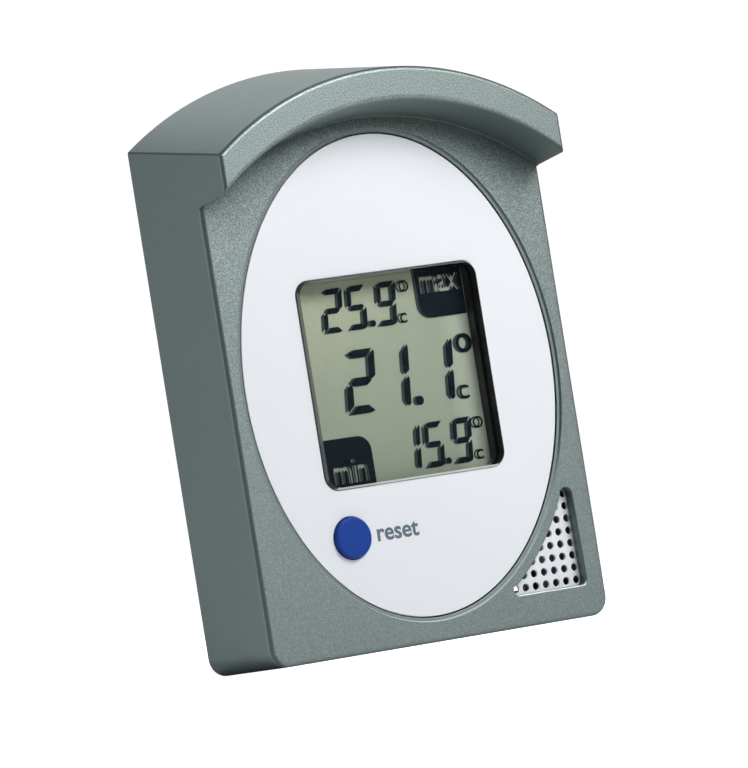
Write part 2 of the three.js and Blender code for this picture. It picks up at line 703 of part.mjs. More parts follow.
addPiece("main_board", mainBoard(), FINISH.board);
addPiece("controller_blob", controllerBlob(), FINISH.black);
addPiece("crystal_can", barX(BOARD.back + 1.1, 33, 1, 5, 11, 16), FINISH.steel);
addPiece("capacitor_1", chip(14, 42, 3.2, 1.6, 1.4), FINISH.ceramic);
addPiece("capacitor_2", chip(14, 47, 3.2, 1.6, 1.4), FINISH.ceramic);
addPiece("resistor_1", chip(-8, 28, 2, 1.25, 0.5), FINISH.black);
addPiece("resistor_2", chip(-3, 28, 2, 1.25, 0.5), FINISH.black);
addPiece("resistor_3", chip(4, 20, 2, 1.25, 0.5), FINISH.black);
addPiece("switch_base", switchBase(), FINISH.black);
addPiece("switch_cover", switchCover(), FINISH.steel);
addPiece("switch_plunger", barY(BUTTON.x, BUTTON.z, 1.4, BUTTON_STEM.back + 0.1, 6.2), FINISH.black);
addPiece("thermistor_bead", thermistorBead(), FINISH.black);
addPiece("thermistor_lead_1", thermistorLead(-1), FINISH.steel);
addPiece("thermistor_lead_2", thermistorLead(1), FINISH.steel);

addPiece("battery_cell", batteryCell(), FINISH.steel);
addPiece("battery_sleeve", batterySleeve(), FINISH.sleeve);
addPiece("battery_spring", batterySpring(), FINISH.steel);
addPiece("spring_plate", contact(-1), FINISH.brassTerminal);
addPiece("leaf_contact", leafContact(), FINISH.brassTerminal);
addPiece("wire_black", batteryWire(-1), FINISH.blackWire);
addPiece("wire_red", batteryWire(1), FINISH.redWire);

BOSSES.forEach(([x, z], i) => {
  const solid = screw(x, z, 2.4, CASE_DEPTH - 1.2, CASE_DEPTH - 0.1, 1.05, 8);
  addPiece(`case_screw_${i + 1}`, solid, FINISH.steel);
});
postPlaces().forEach(([x, z], i) => {
  const solid = screw(x, z, 1.8, BOARD.back + 0.1, BOARD.back + 1.3, 0.85, 4.8);
  addPiece(`board_screw_${i + 1}`, solid, FINISH.steel);
});

export default thermometer;
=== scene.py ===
import math

import bmesh
import bpy
from mathutils import Matrix, Vector


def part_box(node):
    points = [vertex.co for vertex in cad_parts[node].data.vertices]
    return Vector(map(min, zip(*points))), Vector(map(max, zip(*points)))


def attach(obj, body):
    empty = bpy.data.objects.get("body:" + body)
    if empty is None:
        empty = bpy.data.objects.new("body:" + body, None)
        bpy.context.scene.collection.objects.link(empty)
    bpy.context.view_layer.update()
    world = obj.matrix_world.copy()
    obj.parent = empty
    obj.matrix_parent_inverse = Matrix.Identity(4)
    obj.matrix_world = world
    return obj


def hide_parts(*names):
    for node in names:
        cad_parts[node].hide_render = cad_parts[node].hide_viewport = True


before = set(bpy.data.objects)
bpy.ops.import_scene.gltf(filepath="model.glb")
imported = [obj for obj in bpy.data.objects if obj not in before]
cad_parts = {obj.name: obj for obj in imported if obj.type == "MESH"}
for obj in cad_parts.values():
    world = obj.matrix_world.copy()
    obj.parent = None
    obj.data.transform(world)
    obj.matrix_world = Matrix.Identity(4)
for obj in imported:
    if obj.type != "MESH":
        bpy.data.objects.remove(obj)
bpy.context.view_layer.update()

# The looks of a maximum minimum thermometer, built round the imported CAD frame.
#
# Pieces are drawn in millimetres in the case frame: +X is right, y is the depth behind the
# case's front face and z is the height above its base. finish_piece() takes them to the row frame.

MM = 0.001
PLATE_DEPTH = 0.5  # the face plate's front lies this far behind the case's front face
FACE_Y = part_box("face_plate")[0].y - PLATE_DEPTH * MM


def case_box(node):
    """A CAD node's lowest and highest corners, in millimetres in the case frame."""
    low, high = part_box(node)
    shift = Vector((0, FACE_Y, 0))
    return (low - shift) / MM, (high - shift) / MM


def middle(node):
    low, high = case_box(node)
    return (low + high) / 2


# ---- Driving dimensions --------------------------------------------------------------------

CASE_LOW, CASE_HIGH = case_box("front_housing")
HALF_WIDTH = CASE_HIGH.x
HOOD_DEPTH = -CASE_LOW.y
CASE_DEPTH = CASE_HIGH.y
APEX = CASE_HIGH.z

WALL = 2.0
FRONT_WALL = 3.0  # how far the case's front wall reaches in
ROOF_WALL = 2.3
BASE_CORNER = 3.0
ROOF_CORNER = 0.55
FRONT_ROUNDING = 0.8
HOOD_ROUNDING = 0.7
HOOD_LIP_ROUNDING = 0.8
BACK_ROUNDING = 0.4
ROOT_FILLET = 0.1

# An arch is the height of its ends, at the case's sides, and of its apex.
ROOF_BACK = (APEX - 10.1, APEX)
ROOF_FRONT = (APEX - 14.05, APEX - 3.4)
UNDER_FRONT = (APEX - 20.1, APEX - 8.65)
UNDER_ROOT = (APEX - 21.3, APEX - 10.3)

PLATE_LOW, PLATE_HIGH = case_box("face_plate")
PLATE_CENTRE = middle("face_plate")
PLATE_TALLER = 0.15  # the visible plate reaches this much further up and down than the CAD one
PLATE_HALF = (PLATE_HIGH - PLATE_LOW) / 2 + Vector((0, 0, PLATE_TALLER))

# The ring round the face plate, as [distance out from the plate's edge, depth] from inside out
RING_PROFILE = [
    (0.24, 2.2), (0.24, 0.48), (0.28, 0.43), (0.72, 0.38), (0.76, 0.34),
    (0.90, 0.08), (0.94, 0.02), (1.02, 0.0), (1.2, -0.6),
]

WINDOW_LOW, WINDOW_HIGH = case_box("display_window")
FLANGE_OVERHANG = 0.6
WINDOW_CENTRE = middle("display_window")
WINDOW_SIZE = WINDOW_HIGH - WINDOW_LOW - Vector((2 * FLANGE_OVERHANG, 0, 2 * FLANGE_OVERHANG))
WINDOW_CORNER = 2.5
WINDOW_BEVEL = 0.3
WINDOW_FLANGE_Y = 1.8
DISPLAY_APERTURE = (37.6, 36.6)

BUTTON_FRONT = case_box("reset_button")[0].y
BUTTON_CENTRE = middle("reset_button")
BUTTON_RADIUS = 3.3
BUTTON_FLANGE_RADIUS = 4.2
BUTTON_STEM_RADIUS = 1.5

# The sensor opening: a straight right side and bottom, and a curve round the face plate
OPENING_RIGHT = 28.9
OPENING_BOTTOM = 5.25
OPENING_CORNER = 0.8
OPENING_OFFSET = 2.55
OPENING_TOP = (27.6, 20.0, 1.05)
OPENING_TIP = (15.65, 6.15, 0.9)
OPENING_ROUNDING = 0.32
OPENING_POCKET = 1.45
GRILLE_LOW, GRILLE_HIGH = case_box("sensor_grille")
HOLE_START = (28.25, 6.2)
HOLE_PITCH = 2.0
HOLE_RADIUS = 0.62

# The rear cover with its battery bay, the door on its hinge pins, the keyhole and the vents
COVER_FRONT = case_box("battery_door")[0].y - 0.4
COVER_GAP = 0.25
BAY_Z, BAY_HALF_LENGTH, BAY_HALF_HEIGHT = 71.0, 24.6, 5.9
BAY_FRONT, BAY_WALL = 5.0, 1.2
DOOR_HALF_WIDTH, DOOR_BOTTOM, DOOR_TOP = 23.7, 65.4, 76.6
DOOR_FRONT, DOOR_BACK, DOOR_GAP = 17.4, 18.95, 0.3
HINGE_Y, HINGE_Z, PIN_REACH = 18.15, 66.15, 1.2
KEYHOLE_Z, KEYHOLE_RADIUS, SLOT_Z, SLOT_RADIUS = 82.0, 3.7, 86.6, 2.0
VENT_HEIGHTS = [5.8, 9.8, 13.8]

# Inside the shell: bosses for the rear cover's screws and posts for the board's screws
BOSSES = [(side * 27.2, 26.0) for side in (-1, 1)] + [(side * 24.0, 83.0) for side in (-1, 1)]
BOSS_RADIUS, BOSS_BORE, BOSS_FLOOR, BOSS_END = 2.6, 1.3, 2, 16.8
POSTS = [(side * 23.2, height) for height in (32.0, 57.0) for side in (-1, 1)]
POST_RADIUS, POST_BORE, POST_FLOOR, POST_END = 1.9, 1.05, 1, 7.9


# ---- Outlines ------------------------------------------------------------------------------


def arc(x, z, radius, start, end, steps):
    """Points on an arc, with its angles in degrees."""
    points = []
    for i in range(steps + 1):
        angle = math.radians(start + (end - start) * i / steps)
        points.append((x + radius * math.cos(angle), z + radius * math.sin(angle)))
    return points


def oval(offset):
    """The face plate's edge, moved out by an offset."""
    steps = 180
    points = []
    for i in range(steps):
        angle = 2 * math.pi * i / steps
        x = PLATE_CENTRE.x + (PLATE_HALF.x + offset) * math.cos(angle)
        z = PLATE_CENTRE.z + (PLATE_HALF.z + offset) * math.sin(angle)
        points.append((x, z))
    return points


def rounded_rect(x, z, width, height, corner, steps=10):
    right, up = width / 2 - corner, height / 2 - corner
    return [
        *arc(x + right, z + up, corner, 0, 90, steps),
        *arc(x - right, z + up, corner, 90, 180, steps),
        *arc(x - right, z - up, corner, 180, 270, steps),
        *arc(x + right, z - up, corner, 270, 360, steps),
    ]


def between(front, back, share):
    """An arch that lies a share of the way from one to another."""
    return tuple(a + (b - a) * share for a, b in zip(front, back))


def arch_circle(arch):
    """The height of an arch's centre, and its radius."""
    ends, apex = arch
    rise = apex - ends
    radius = (HALF_WIDTH**2 + rise**2) / (2 * rise)
    return apex - radius, radius


def case_outline(y, inset=0.0, roof_inset=None):
    """The case seen from the front at a depth, drawn in by an inset."""
    roof_inset = inset if roof_inset is None else roof_inset
    share = (y + HOOD_DEPTH) / (HOOD_DEPTH + CASE_DEPTH)
    centre, radius = arch_circle(between(ROOF_FRONT, ROOF_BACK, share))
    radius -= roof_inset
    half = HALF_WIDTH - inset
    corner = max(ROOF_CORNER - inset, 0.08)
    corner_x = half - corner
    corner_z = centre + math.sqrt((radius - corner) ** 2 - corner_x**2)
    lean = math.degrees(math.atan2(corner_z - centre, corner_x))
    base = BASE_CORNER - inset
    base_x = HALF_WIDTH - BASE_CORNER
    return [
        *arc(base_x, BASE_CORNER, base, 270, 360, 10),
        *arc(corner_x, corner_z, corner, 0, lean, 4),
        *arc(0, centre, radius, lean, 180 - lean, 96)[1:-1],
        *arc(-corner_x, corner_z, corner, 180 - lean, 180, 4),
        *arc(-base_x, BASE_CORNER, base, 180, 270, 10),
    ]


def sensor_outline(grow):
    """The sensor opening, made larger all round."""
    right, bottom = OPENING_RIGHT + grow, OPENING_BOTTOM - grow
    across = PLATE_HALF.x + OPENING_OFFSET - grow
    along = PLATE_HALF.z + OPENING_OFFSET - grow
    top_x, top_z, top_radius = OPENING_TOP
    tip_x, tip_z, tip_radius = OPENING_TIP
    end_angle = 155
    corner = OPENING_CORNER + grow
    top = arc(top_x, top_z, top_radius + grow, 0, end_angle, 12)
    tip = arc(tip_x, tip_z, tip_radius + grow, end_angle, 270, 10)
    high, low = top[-1][1], tip[0][1]
    curve = []
    steps = 18
    for i in range(1, steps):
        z = high + (low - high) * i / steps
        x = PLATE_CENTRE.x + across * math.sqrt(1 - ((z - PLATE_CENTRE.z) / along) ** 2)
        curve.append((x, z))
    return [*arc(right - corner, bottom + corner, corner, 270, 360, 8), *top, *curve, *tip]


# ---- Mesh making ---------------------------------------------------------------------------


def mesh_object(name, bm):
    bmesh.ops.recalc_face_normals(bm, faces=bm.faces)
    mesh = bpy.data.meshes.new(name)
    bm.to_mesh(mesh)
    bm.free()
    piece = bpy.data.objects.new(name, mesh)
    bpy.context.scene.collection.objects.link(piece)
    return piece


def loft(name, rings):
    """A closed solid through rings of (x, y, z) points, with equal numbers of points."""
    bm = bmesh.new()
    rows = [[bm.verts.new(point) for point in ring] for ring in rings]
    count = len(rows[0])
    for near, far in zip(rows, rows[1:]):
        for i in range(count):
            j = (i + 1) % count
            bm.faces.new((near[i], far[i], far[j], near[j]))
    bm.faces.new(rows[0][::-1])
    bm.faces.new(rows[-1])
    return mesh_object(name, bm)


def at_depth(outline, y):
    return [(x, y, z) for x, z in outline]


def slab(name, outline, front, back):
    return loft(name, [at_depth(outline, front), at_depth(outline, back)])


def turned(name, x, z, profile, sides):
    """A solid turned about Y, from [radius, y] pairs whose first and last are on the axis."""
    bm = bmesh.new()
    rows = []
    for radius, y in profile:
        if radius == 0:
            rows.append([bm.verts.new((x, y, z))])
            continue
        rows.append([bm.verts.new((px, y, pz)) for px, pz in arc(x, z, radius, 0, 360, sides)[:-1]])
    for near, far in zip(rows, rows[1:]):
        for i in range(sides):
            j = (i + 1) % sides
            ring = [near[i % len(near)], far[i % len(far)], far[j % len(far)], near[j % len(near)]]
            corners = list(dict.fromkeys(ring))
            if len(corners) > 2:
                bm.faces.new(corners)
    return mesh_object(name, bm)


def bar_y(x, z, radius, front, back, sides=48):
    return slab("bar", arc(x, z, radius, 0, 360, sides)[:-1], front, back)


def box_solid(low, high):
    outline = [(low[0], low[2]), (high[0], low[2]), (high[0], high[2]), (low[0], high[2])]
    return slab("box", outline, low[1], high[1])


def bake(piece):
    """Puts a piece's modifiers into its mesh."""
    graph = bpy.context.evaluated_depsgraph_get()
    mesh = bpy.data.meshes.new_from_object(piece.evaluated_get(graph))
    mesh.materials.clear()
    piece.modifiers.clear()
    piece.data = mesh


def combine(piece, other, operation):
    modifier = piece.modifiers.new("combine", "BOOLEAN")
    modifier.solver = "MANIFOLD"
    modifier.operation = operation
    modifier.object = other
    bake(piece)
    bpy.data.objects.remove(other)
    return piece


def cut(piece, *others):
    for other in others:
        combine(piece, other, "DIFFERENCE")
    return piece


def add(piece, *others):
    for other in others:
        combine(piece, other, "UNION")
    return piece


def convex_edge(radius, steps=5):
    """[depth, growth] pairs for a rounded edge, from the surface inwards.

    A cutter grows by them at the surface that it enters, and a solid is drawn in by them."""
    pairs = []
    for i in range(steps + 1):
        angle = 0.5 * math.pi * i / steps
        pairs.append((radius * (1 - math.cos(angle)), radius * (1 - math.sin(angle))))
    return pairs


def bevel(piece, width):
    modifier = piece.modifiers.new("bevel", "BEVEL")
    modifier.width = width
    modifier.segments = 3
    modifier.limit_method = "ANGLE"
    modifier.angle_limit = math.radians(40)
    bake(piece)


def finish_piece(piece, material, body="case", replaces=(), sharp=32):
    """Takes a piece to the row frame, shades it and puts it on its body."""
    mesh = piece.data
    mesh.transform(Matrix.Translation((0, FACE_Y, 0)) @ Matrix.Scale(MM, 4))
    mesh.shade_smooth()
    mesh.set_sharp_from_angle(angle=math.radians(sharp))
    weighted = piece.modifiers.new("weighted", "WEIGHTED_NORMAL")
    weighted.keep_sharp = True
    weighted.weight = 80
    if not mesh.materials:
        mesh.materials.append(material)
    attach(piece, body)
    if replaces:
        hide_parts(*replaces)


# ---- Materials -----------------------------------------------------------------------------


class Nodes:
    """A material's node tree, with short calls for the nodes that the finishes use."""

    def __init__(self, name):
        self.material = bpy.data.materials.new(name)
        self.material.use_nodes = True
        self.tree = self.material.node_tree
        self.shader = self.tree.nodes["Principled BSDF"]
        self.place = self.tree.nodes.new("ShaderNodeTexCoord")

    def set(self, **values):
        for name, value in values.items():
            self.shader.inputs[name.replace("_", " ")].default_value = value

    def link(self, source, target):
        self.tree.links.new(source, target)

    def noise(self, size_mm, detail=2.0):
        """Noise whose features are about size_mm across."""
        node = self.tree.nodes.new("ShaderNodeTexNoise")
        node.inputs["Scale"].default_value = 1 / (size_mm * MM)
        node.inputs["Detail"].default_value = detail
        self.link(self.place.outputs["Object"], node.inputs["Vector"])
        return node.outputs["Fac"]

    def spread(self, source, low, high, start=0.3, end=0.7):
        """A value from low to high as the source goes from start to end."""
        node = self.tree.nodes.new("ShaderNodeMapRange")
        for name, value in zip(("From Min", "From Max", "To Min", "To Max"), (start, end, low, high)):
            node.inputs[name].default_value = value
        self.link(source, node.inputs["Value"])
        return node.outputs["Result"]

    def blend(self, share, first, second):
        """A colour between two, each a colour or another node's output."""
        node = self.tree.nodes.new("ShaderNodeMix")
        node.data_type = "RGBA"
        for socket, colour in ((node.inputs["A"], first), (node.inputs["B"], second)):
            if isinstance(colour, tuple):
                socket.default_value = (*colour, 1)
            else:
                self.link(colour, socket)
        self.link(share, node.inputs["Factor"])
        return node.outputs["Result"]

    def times(self, first, second):
        node = self.tree.nodes.new("ShaderNodeMath")
        node.operation = "MULTIPLY"
        for socket, value in zip(node.inputs, (first, second)):
            if isinstance(value, (int, float)):
                socket.default_value = value
            else:
                self.link(value, socket)
        return node.outputs["Value"]

    def colour(self, colour):
        self.link(colour, self.shader.inputs["Base Color"])

    def roughness(self, source, low, high):
        self.link(self.spread(source, low, high), self.shader.inputs["Roughness"])

    def bump(self, height, depth_mm):
        node = self.tree.nodes.new("ShaderNodeBump")
        node.inputs["Strength"].default_value = 1.0
        node.inputs["Distance"].default_value = depth_mm * MM
        self.link(height, node.inputs["Height"])
        self.link(node.outputs["Normal"], self.shader.inputs["Normal"])

    def hollows(self, reach_mm):
        """How deep in a corner or under an overhang a place lies, from 0 in the open."""
        node = self.tree.nodes.new("ShaderNodeAmbientOcclusion")
        node.samples = 8
        node.only_local = True
        node.inputs["Distance"].default_value = reach_mm * MM
        return self.spread(node.outputs["AO"], 1, 0, 0.47, 0.97)

    def axis(self, name, source="Object"):
        """The piece's own X, Y or Z in metres, or that part of its normal."""
        parts = self.tree.nodes.new("ShaderNodeSeparateXYZ")
        self.link(self.place.outputs[source], parts.inputs["Vector"])
        return parts.outputs[name]

    def facing(self, axis, start, end):
        """0 to 1 as the piece's own normal along an axis goes from start to end."""
        return self.spread(self.axis(axis, "Normal"), 0, 1, start, end)

    def opposite(self, share):
        return self.spread(share, 1, 0, 0, 1)


def with_grain(nodes, base, grain, front):
    """Light and dark specks on the front faces, stronger towards the hood."""
    strength = nodes.times(front, nodes.spread(nodes.axis("Z"), 0.45, 1.1, 0.03, 0.085))
    dark = nodes.times(nodes.spread(grain, 1.0, 0, 0.36, 0.52), strength)
    light = nodes.times(nodes.spread(grain, 0, 1.0, 0.52, 0.66), strength)
    colour = nodes.blend(dark, base, (0.155, 0.195, 0.19))
    return nodes.blend(light, colour, (0.44, 0.50, 0.485))


def with_painted_shade(nodes, colour):
    """Painted shade: darker in the hollow under the hood, and on the faces that look down."""
    below = nodes.facing("Z", -0.5, -0.9)
    hollow = nodes.times(nodes.hollows(11), nodes.opposite(below))
    colour = nodes.blend(hollow, colour, (0.03, 0.045, 0.04))
    return nodes.blend(nodes.times(below, 0.55), colour, (0.075, 0.105, 0.09))


def with_painted_edge_light(nodes, colour):
    """Painted shade: dark left edges and a duller edge on top of the hood; and a painted highlight on
    the edge below the face plate.
    """
    left = nodes.times(nodes.facing("X", -0.12, -0.4), nodes.facing("Y", -0.2, -0.4))
    colour = nodes.blend(nodes.times(left, 0.8), colour, (0.085, 0.115, 0.11))
    upper = nodes.times(nodes.facing("Z", 0.2, 0.45), nodes.facing("Y", -0.25, -0.45))
    hood = nodes.spread(nodes.axis("Z"), 0, 1, 0.05, 0.07)
    hood_edge_shade = nodes.times(nodes.times(upper, hood), 0.5)
    colour = nodes.blend(hood_edge_shade, colour, (0.12, 0.15, 0.145))
    # Painted highlight on the up-facing edges below the hood, such as the ring's lower edge
    return nodes.blend(nodes.times(upper, nodes.opposite(hood)), colour, (0.62, 0.68, 0.66))


def housing_finish():
    """Silver-grey metallic plastic: a fine sparkling grain on the front faces, satin elsewhere, with
    painted shade and highlights in its colour.
    """
    nodes = Nodes("housing_paint")
    nodes.set(Metallic=0.9, IOR=1.5)
    front = nodes.facing("Y", -0.6, -0.97)
    grain = nodes.noise(0.15, detail=1.0)
    flake = nodes.noise(0.4, detail=3.0)
    cloud = nodes.noise(14.0, detail=3.0)
    base = nodes.blend(nodes.spread(cloud, 0, 1), (0.246, 0.306, 0.302), (0.254, 0.314, 0.312))
    nodes.colour(with_painted_edge_light(nodes, with_painted_shade(nodes, with_grain(nodes, base, grain, front))))
    nodes.roughness(flake, 0.46, 0.54)
    nodes.bump(nodes.times(grain, nodes.spread(front, 0.25, 1.0, 0, 1)), 0.015)
    return nodes.material


def plate_finish():
    """White satin plastic."""
    nodes = Nodes("plate_white")
    nodes.set(IOR=1.46)
    cloud = nodes.noise(22.0, detail=2.0)
    nodes.colour(nodes.blend(nodes.spread(cloud, 0, 1), (0.71, 0.738, 0.775), (0.724, 0.752, 0.785)))
    nodes.roughness(nodes.noise(1.2), 0.45, 0.56)
    nodes.bump(nodes.noise(0.3), 0.006)
    return nodes.material


def plain_finish(name, low, high, roughness, metallic=0.0, size=0.8, depth=0.01, **values):
    """A moulded or metal finish that wanders between two colours."""
    nodes = Nodes(name)
    nodes.set(Metallic=metallic, **values)
    cloud = nodes.noise(size * 6, detail=3.0)
    nodes.colour(nodes.blend(nodes.spread(cloud, 0, 1), low, high))
    fine = nodes.noise(size)
    nodes.roughness(fine, roughness - 0.05, roughness + 0.06)
    nodes.bump(fine, depth)
    return nodes.material


def lens_finish():
    """Clear acrylic."""
    nodes = Nodes("clear_acrylic")
    nodes.set(Alpha=0.05, IOR=1.49, Base_Color=(0.02, 0.022, 0.022, 1))
    nodes.roughness(nodes.noise(9.0), 0.03, 0.07)
    return nodes.material


def lens_rim_painted_light():
    """The lens's bevel, with the light that it bends round painted into its colour: a painted highlight
    below, grey to the left, dark elsewhere.
    """
    nodes = Nodes("acrylic_bevel_painted_light")
    nodes.set(Alpha=0.85, IOR=1.49)
    streak = nodes.noise(2.0)
    colour = nodes.blend(nodes.spread(streak, 0, 1), (0.02, 0.022, 0.022), (0.05, 0.052, 0.052))
    colour = nodes.blend(nodes.facing("X", -0.3, -0.55), colour, (0.16, 0.17, 0.17))
    nodes.colour(nodes.blend(nodes.facing("Z", -0.3, -0.55), colour, (0.8, 0.82, 0.82)))
    nodes.roughness(streak, 0.08, 0.14)
    return nodes.material


def display_finish():
    """The display's grey-green background, with painted light: lighter at its top left and at its right
    edge, and darker towards the bottom.
    """
    nodes = Nodes("display_background")
    nodes.set(IOR=1.4)
    across, up = nodes.axis("X"), nodes.axis("Z")
    cloud = nodes.noise(7.0, detail=3.0)
    fine = nodes.noise(0.25, detail=2.0)
    base = nodes.blend(nodes.spread(cloud, 0, 1), (0.33, 0.38, 0.285), (0.35, 0.40, 0.305))
    # Painted shade towards the bottom, painted light at the top left, and painted light at the right
    # edge to cancel the shadow that the window's rim casts there
    base = nodes.blend(nodes.spread(up, 1, 0, 0.026, 0.042), base, (0.29, 0.34, 0.26))
    high = nodes.times(nodes.spread(up, 0, 1, 0.042, 0.058), nodes.spread(across, 1, 0.3, -0.016, 0.01))
    base = nodes.blend(high, base, (0.50, 0.54, 0.38))
    base = nodes.blend(nodes.spread(across, 0, 1, 0.011, 0.017), base, (0.56, 0.63, 0.50))
    nodes.colour(nodes.blend(nodes.spread(fine, 0, 0.35), base, (0.30, 0.345, 0.27)))
    nodes.roughness(fine, 0.30, 0.38)
    nodes.bump(fine, 0.004)
    return nodes.material


def segment_finish():
    """Display segments: nearly opaque, with a blue cast."""
    nodes = Nodes("segment_ink")
    nodes.set(Alpha=0.84, IOR=1.3, Specular_IOR_Level=0.1)
    tone = nodes.noise(1.5)
    nodes.colour(nodes.blend(nodes.spread(tone, 0, 1), (0.006, 0.012, 0.018), (0.010, 0.018, 0.024)))
    nodes.roughness(tone, 0.4, 0.5)
    return nodes.material


HOUSING = housing_finish()
REAR_HOUSING = plain_finish("rear_plastic", (0.15, 0.18, 0.175), (0.17, 0.20, 0.195), 0.42, size=0.4)
PLATE = plate_finish()
LENS = lens_finish()
LENS_RIM = lens_rim_painted_light()
DISPLAY = display_finish()
SEGMENT = segment_finish()
SEGMENT_SHADOW = plain_finish("segment_shadow", (0.036, 0.050, 0.050), (0.042, 0.058, 0.058), 0.5,
                              Specular_IOR_Level=0.1)
BLACK = plain_finish("black_plastic", (0.012, 0.013, 0.014), (0.018, 0.018, 0.02), 0.45)
BUTTON_BLUE = plain_finish("button_blue", (0.006, 0.042, 0.26), (0.008, 0.048, 0.29), 0.45, size=0.5,
                           Specular_IOR_Level=0.2)
LABEL_GREY = plain_finish("label_ink", (0.085, 0.13, 0.16), (0.105, 0.15, 0.185), 0.5, size=0.3)
RUBBER = plain_finish("zebra_rubber", (0.28, 0.28, 0.28), (0.33, 0.33, 0.33), 0.8)
FOAM = plain_finish("foam", (0.035, 0.035, 0.037), (0.06, 0.06, 0.06), 0.95, size=0.3, depth=0.08)
BOARD = plain_finish("board_green", (0.012, 0.09, 0.032), (0.02, 0.12, 0.045), 0.4)
STEEL = plain_finish("steel", (0.50, 0.51, 0.53), (0.60, 0.61, 0.63), 0.28, metallic=1.0, size=0.4)
BRASS = plain_finish("brass", (0.60, 0.42, 0.16), (0.68, 0.50, 0.22), 0.3, metallic=1.0, size=0.4)
CERAMIC = plain_finish("ceramic", (0.42, 0.31, 0.19), (0.50, 0.37, 0.23), 0.5, size=0.3)
EPOXY = plain_finish("black_epoxy", (0.008, 0.008, 0.009), (0.014, 0.014, 0.015), 0.25)
SLEEVE = plain_finish("cell_sleeve", (0.04, 0.11, 0.24), (0.05, 0.14, 0.29), 0.3, size=0.6)
GLASS = plain_finish("display_glass", (0.62, 0.68, 0.62), (0.68, 0.73, 0.68), 0.08)
RED_WIRE = plain_finish("red_wire", (0.34, 0.012, 0.01), (0.42, 0.02, 0.016), 0.45)
BLACK_WIRE = plain_finish("black_wire", (0.012, 0.012, 0.013), (0.02, 0.02, 0.021), 0.45)


# ---- Case ----------------------------------------------------------------------------------


def case_block(name, front, back, front_rounding, back_rounding=0.0):
    """The case's outline between two depths, with its front and back edges rounded."""
    edges = [(front + depth, inset) for depth, inset in convex_edge(front_rounding, 8)]
    if back_rounding:
        edges += [(back - depth, inset) for depth, inset in reversed(convex_edge(back_rounding, 4))]
    else:
        edges.append((back, 0))
    return loft(name, [at_depth(case_outline(y, inset), y) for y, inset in edges])


def below_arch(arch, y, lowered):
    """A ring round everything below an arch, wider than the case."""
    steps = 96
    reach = HALF_WIDTH + 1
    centre, radius = arch_circle(arch)
    points = [(-reach, y, -2), (reach, y, -2)]
    for i in range(steps + 1):
        x = reach - 2 * reach * i / steps
        points.append((x, y, centre - lowered + math.sqrt(radius**2 - x**2)))
    return points


def space_under_hood():
    """What is cut away below the hood, rounded at its lip and filleted at its root."""
    def ring(y, lowered):
        share = (y + HOOD_DEPTH) / HOOD_DEPTH
        return below_arch(between(UNDER_FRONT, UNDER_ROOT, share), y, lowered)

    lip = convex_edge(HOOD_LIP_ROUNDING, 8)
    rings = [ring(-HOOD_DEPTH - 0.5, -HOOD_LIP_ROUNDING)]
    rings += [ring(-HOOD_DEPTH + depth, -growth) for depth, growth in lip]
    steps = 12
    for i in range(steps + 1):
        angle = 0.5 * math.pi * i / steps
        rings.append(ring(-ROOT_FILLET * (1 - math.sin(angle)), ROOT_FILLET * (1 - math.cos(angle))))
    rings.append(ring(FRONT_ROUNDING + 1, ROOT_FILLET))
    return loft("space", rings)


def flared_cutter(outline, through, rounding):
    """A cutter from in front of the case to a depth, which rounds the edge it makes in the face."""
    rings = [at_depth(outline(rounding), -1)]
    rings += [at_depth(outline(growth), depth) for depth, growth in convex_edge(rounding)]
    rings.append(at_depth(outline(0), through))
    return loft("cutter", rings)


def add_pillars(shell, places, radius, bore, floor, end):
    """Round pillars on the inside of the front wall, each with a blind hole down to its floor."""
    for x, z in places:
        add(shell, bar_y(x, z, radius, FRONT_WALL - 0.5, end))
        cut(shell, bar_y(x, z, bore, FRONT_WALL + floor, end + 1.2))


def make_front_shell():
    shell = case_block("front_shell", 0, CASE_DEPTH, FRONT_ROUNDING, BACK_ROUNDING)
    hood = case_block("hood", -HOOD_DEPTH, FRONT_ROUNDING, HOOD_ROUNDING)
    add(shell, cut(hood, space_under_hood()))
    depths = (FRONT_WALL, CASE_DEPTH + 1)
    cut(shell, loft("inside", [at_depth(case_outline(y, WALL, ROOF_WALL), y) for y in depths]))
    add_pillars(shell, BOSSES, BOSS_RADIUS, BOSS_BORE, BOSS_FLOOR, BOSS_END)
    add_pillars(shell, POSTS, POST_RADIUS, POST_BORE, POST_FLOOR, POST_END)
    through = FRONT_WALL + 1
    aperture = rounded_rect(WINDOW_CENTRE.x, WINDOW_CENTRE.z, *DISPLAY_APERTURE, WINDOW_CORNER)
    cut(
        shell,
        loft("ring", [at_depth(oval(out), depth) for out, depth in reversed(RING_PROFILE)]),
        slab("aperture", aperture, 1, through),
        bar_y(BUTTON_CENTRE.x, BUTTON_CENTRE.z, BUTTON_RADIUS + 0.25, 1, through),
        flared_cutter(sensor_outline, through, OPENING_ROUNDING),
        slab("pocket", sensor_outline(OPENING_POCKET), GRILLE_LOW.y - 0.1, through),
    )
    finish_piece(shell, HOUSING, replaces=["front_housing"])


# ---- Face ----------------------------------------------------------------------------------


def make_face_panel():
    """The white oval, with a hole for the window and one for the button."""
    edge = convex_edge(0.12, 3)
    rings = [at_depth(oval(-growth), PLATE_LOW.y + depth) for depth, growth in edge]
    rings.append(at_depth(oval(0), PLATE_HIGH.y))
    panel = loft("face_panel", rings)
    size = WINDOW_SIZE + Vector((0.24, 0, 0.24))
    hole = rounded_rect(WINDOW_CENTRE.x, WINDOW_CENTRE.z, size.x, size.z, WINDOW_CORNER)
    cut(panel, slab("hole", hole, -1, 3))
    cut(panel, bar_y(BUTTON_CENTRE.x, BUTTON_CENTRE.z, BUTTON_RADIUS + 0.18, -1, 3, 96))
    finish_piece(panel, PLATE, replaces=["face_plate"])


def window_outline(grow):
    """The window's edge, made larger all round."""
    width, height = WINDOW_SIZE.x + 2 * grow, WINDOW_SIZE.z + 2 * grow
    return rounded_rect(WINDOW_CENTRE.x, WINDOW_CENTRE.z, width, height, WINDOW_CORNER + grow)


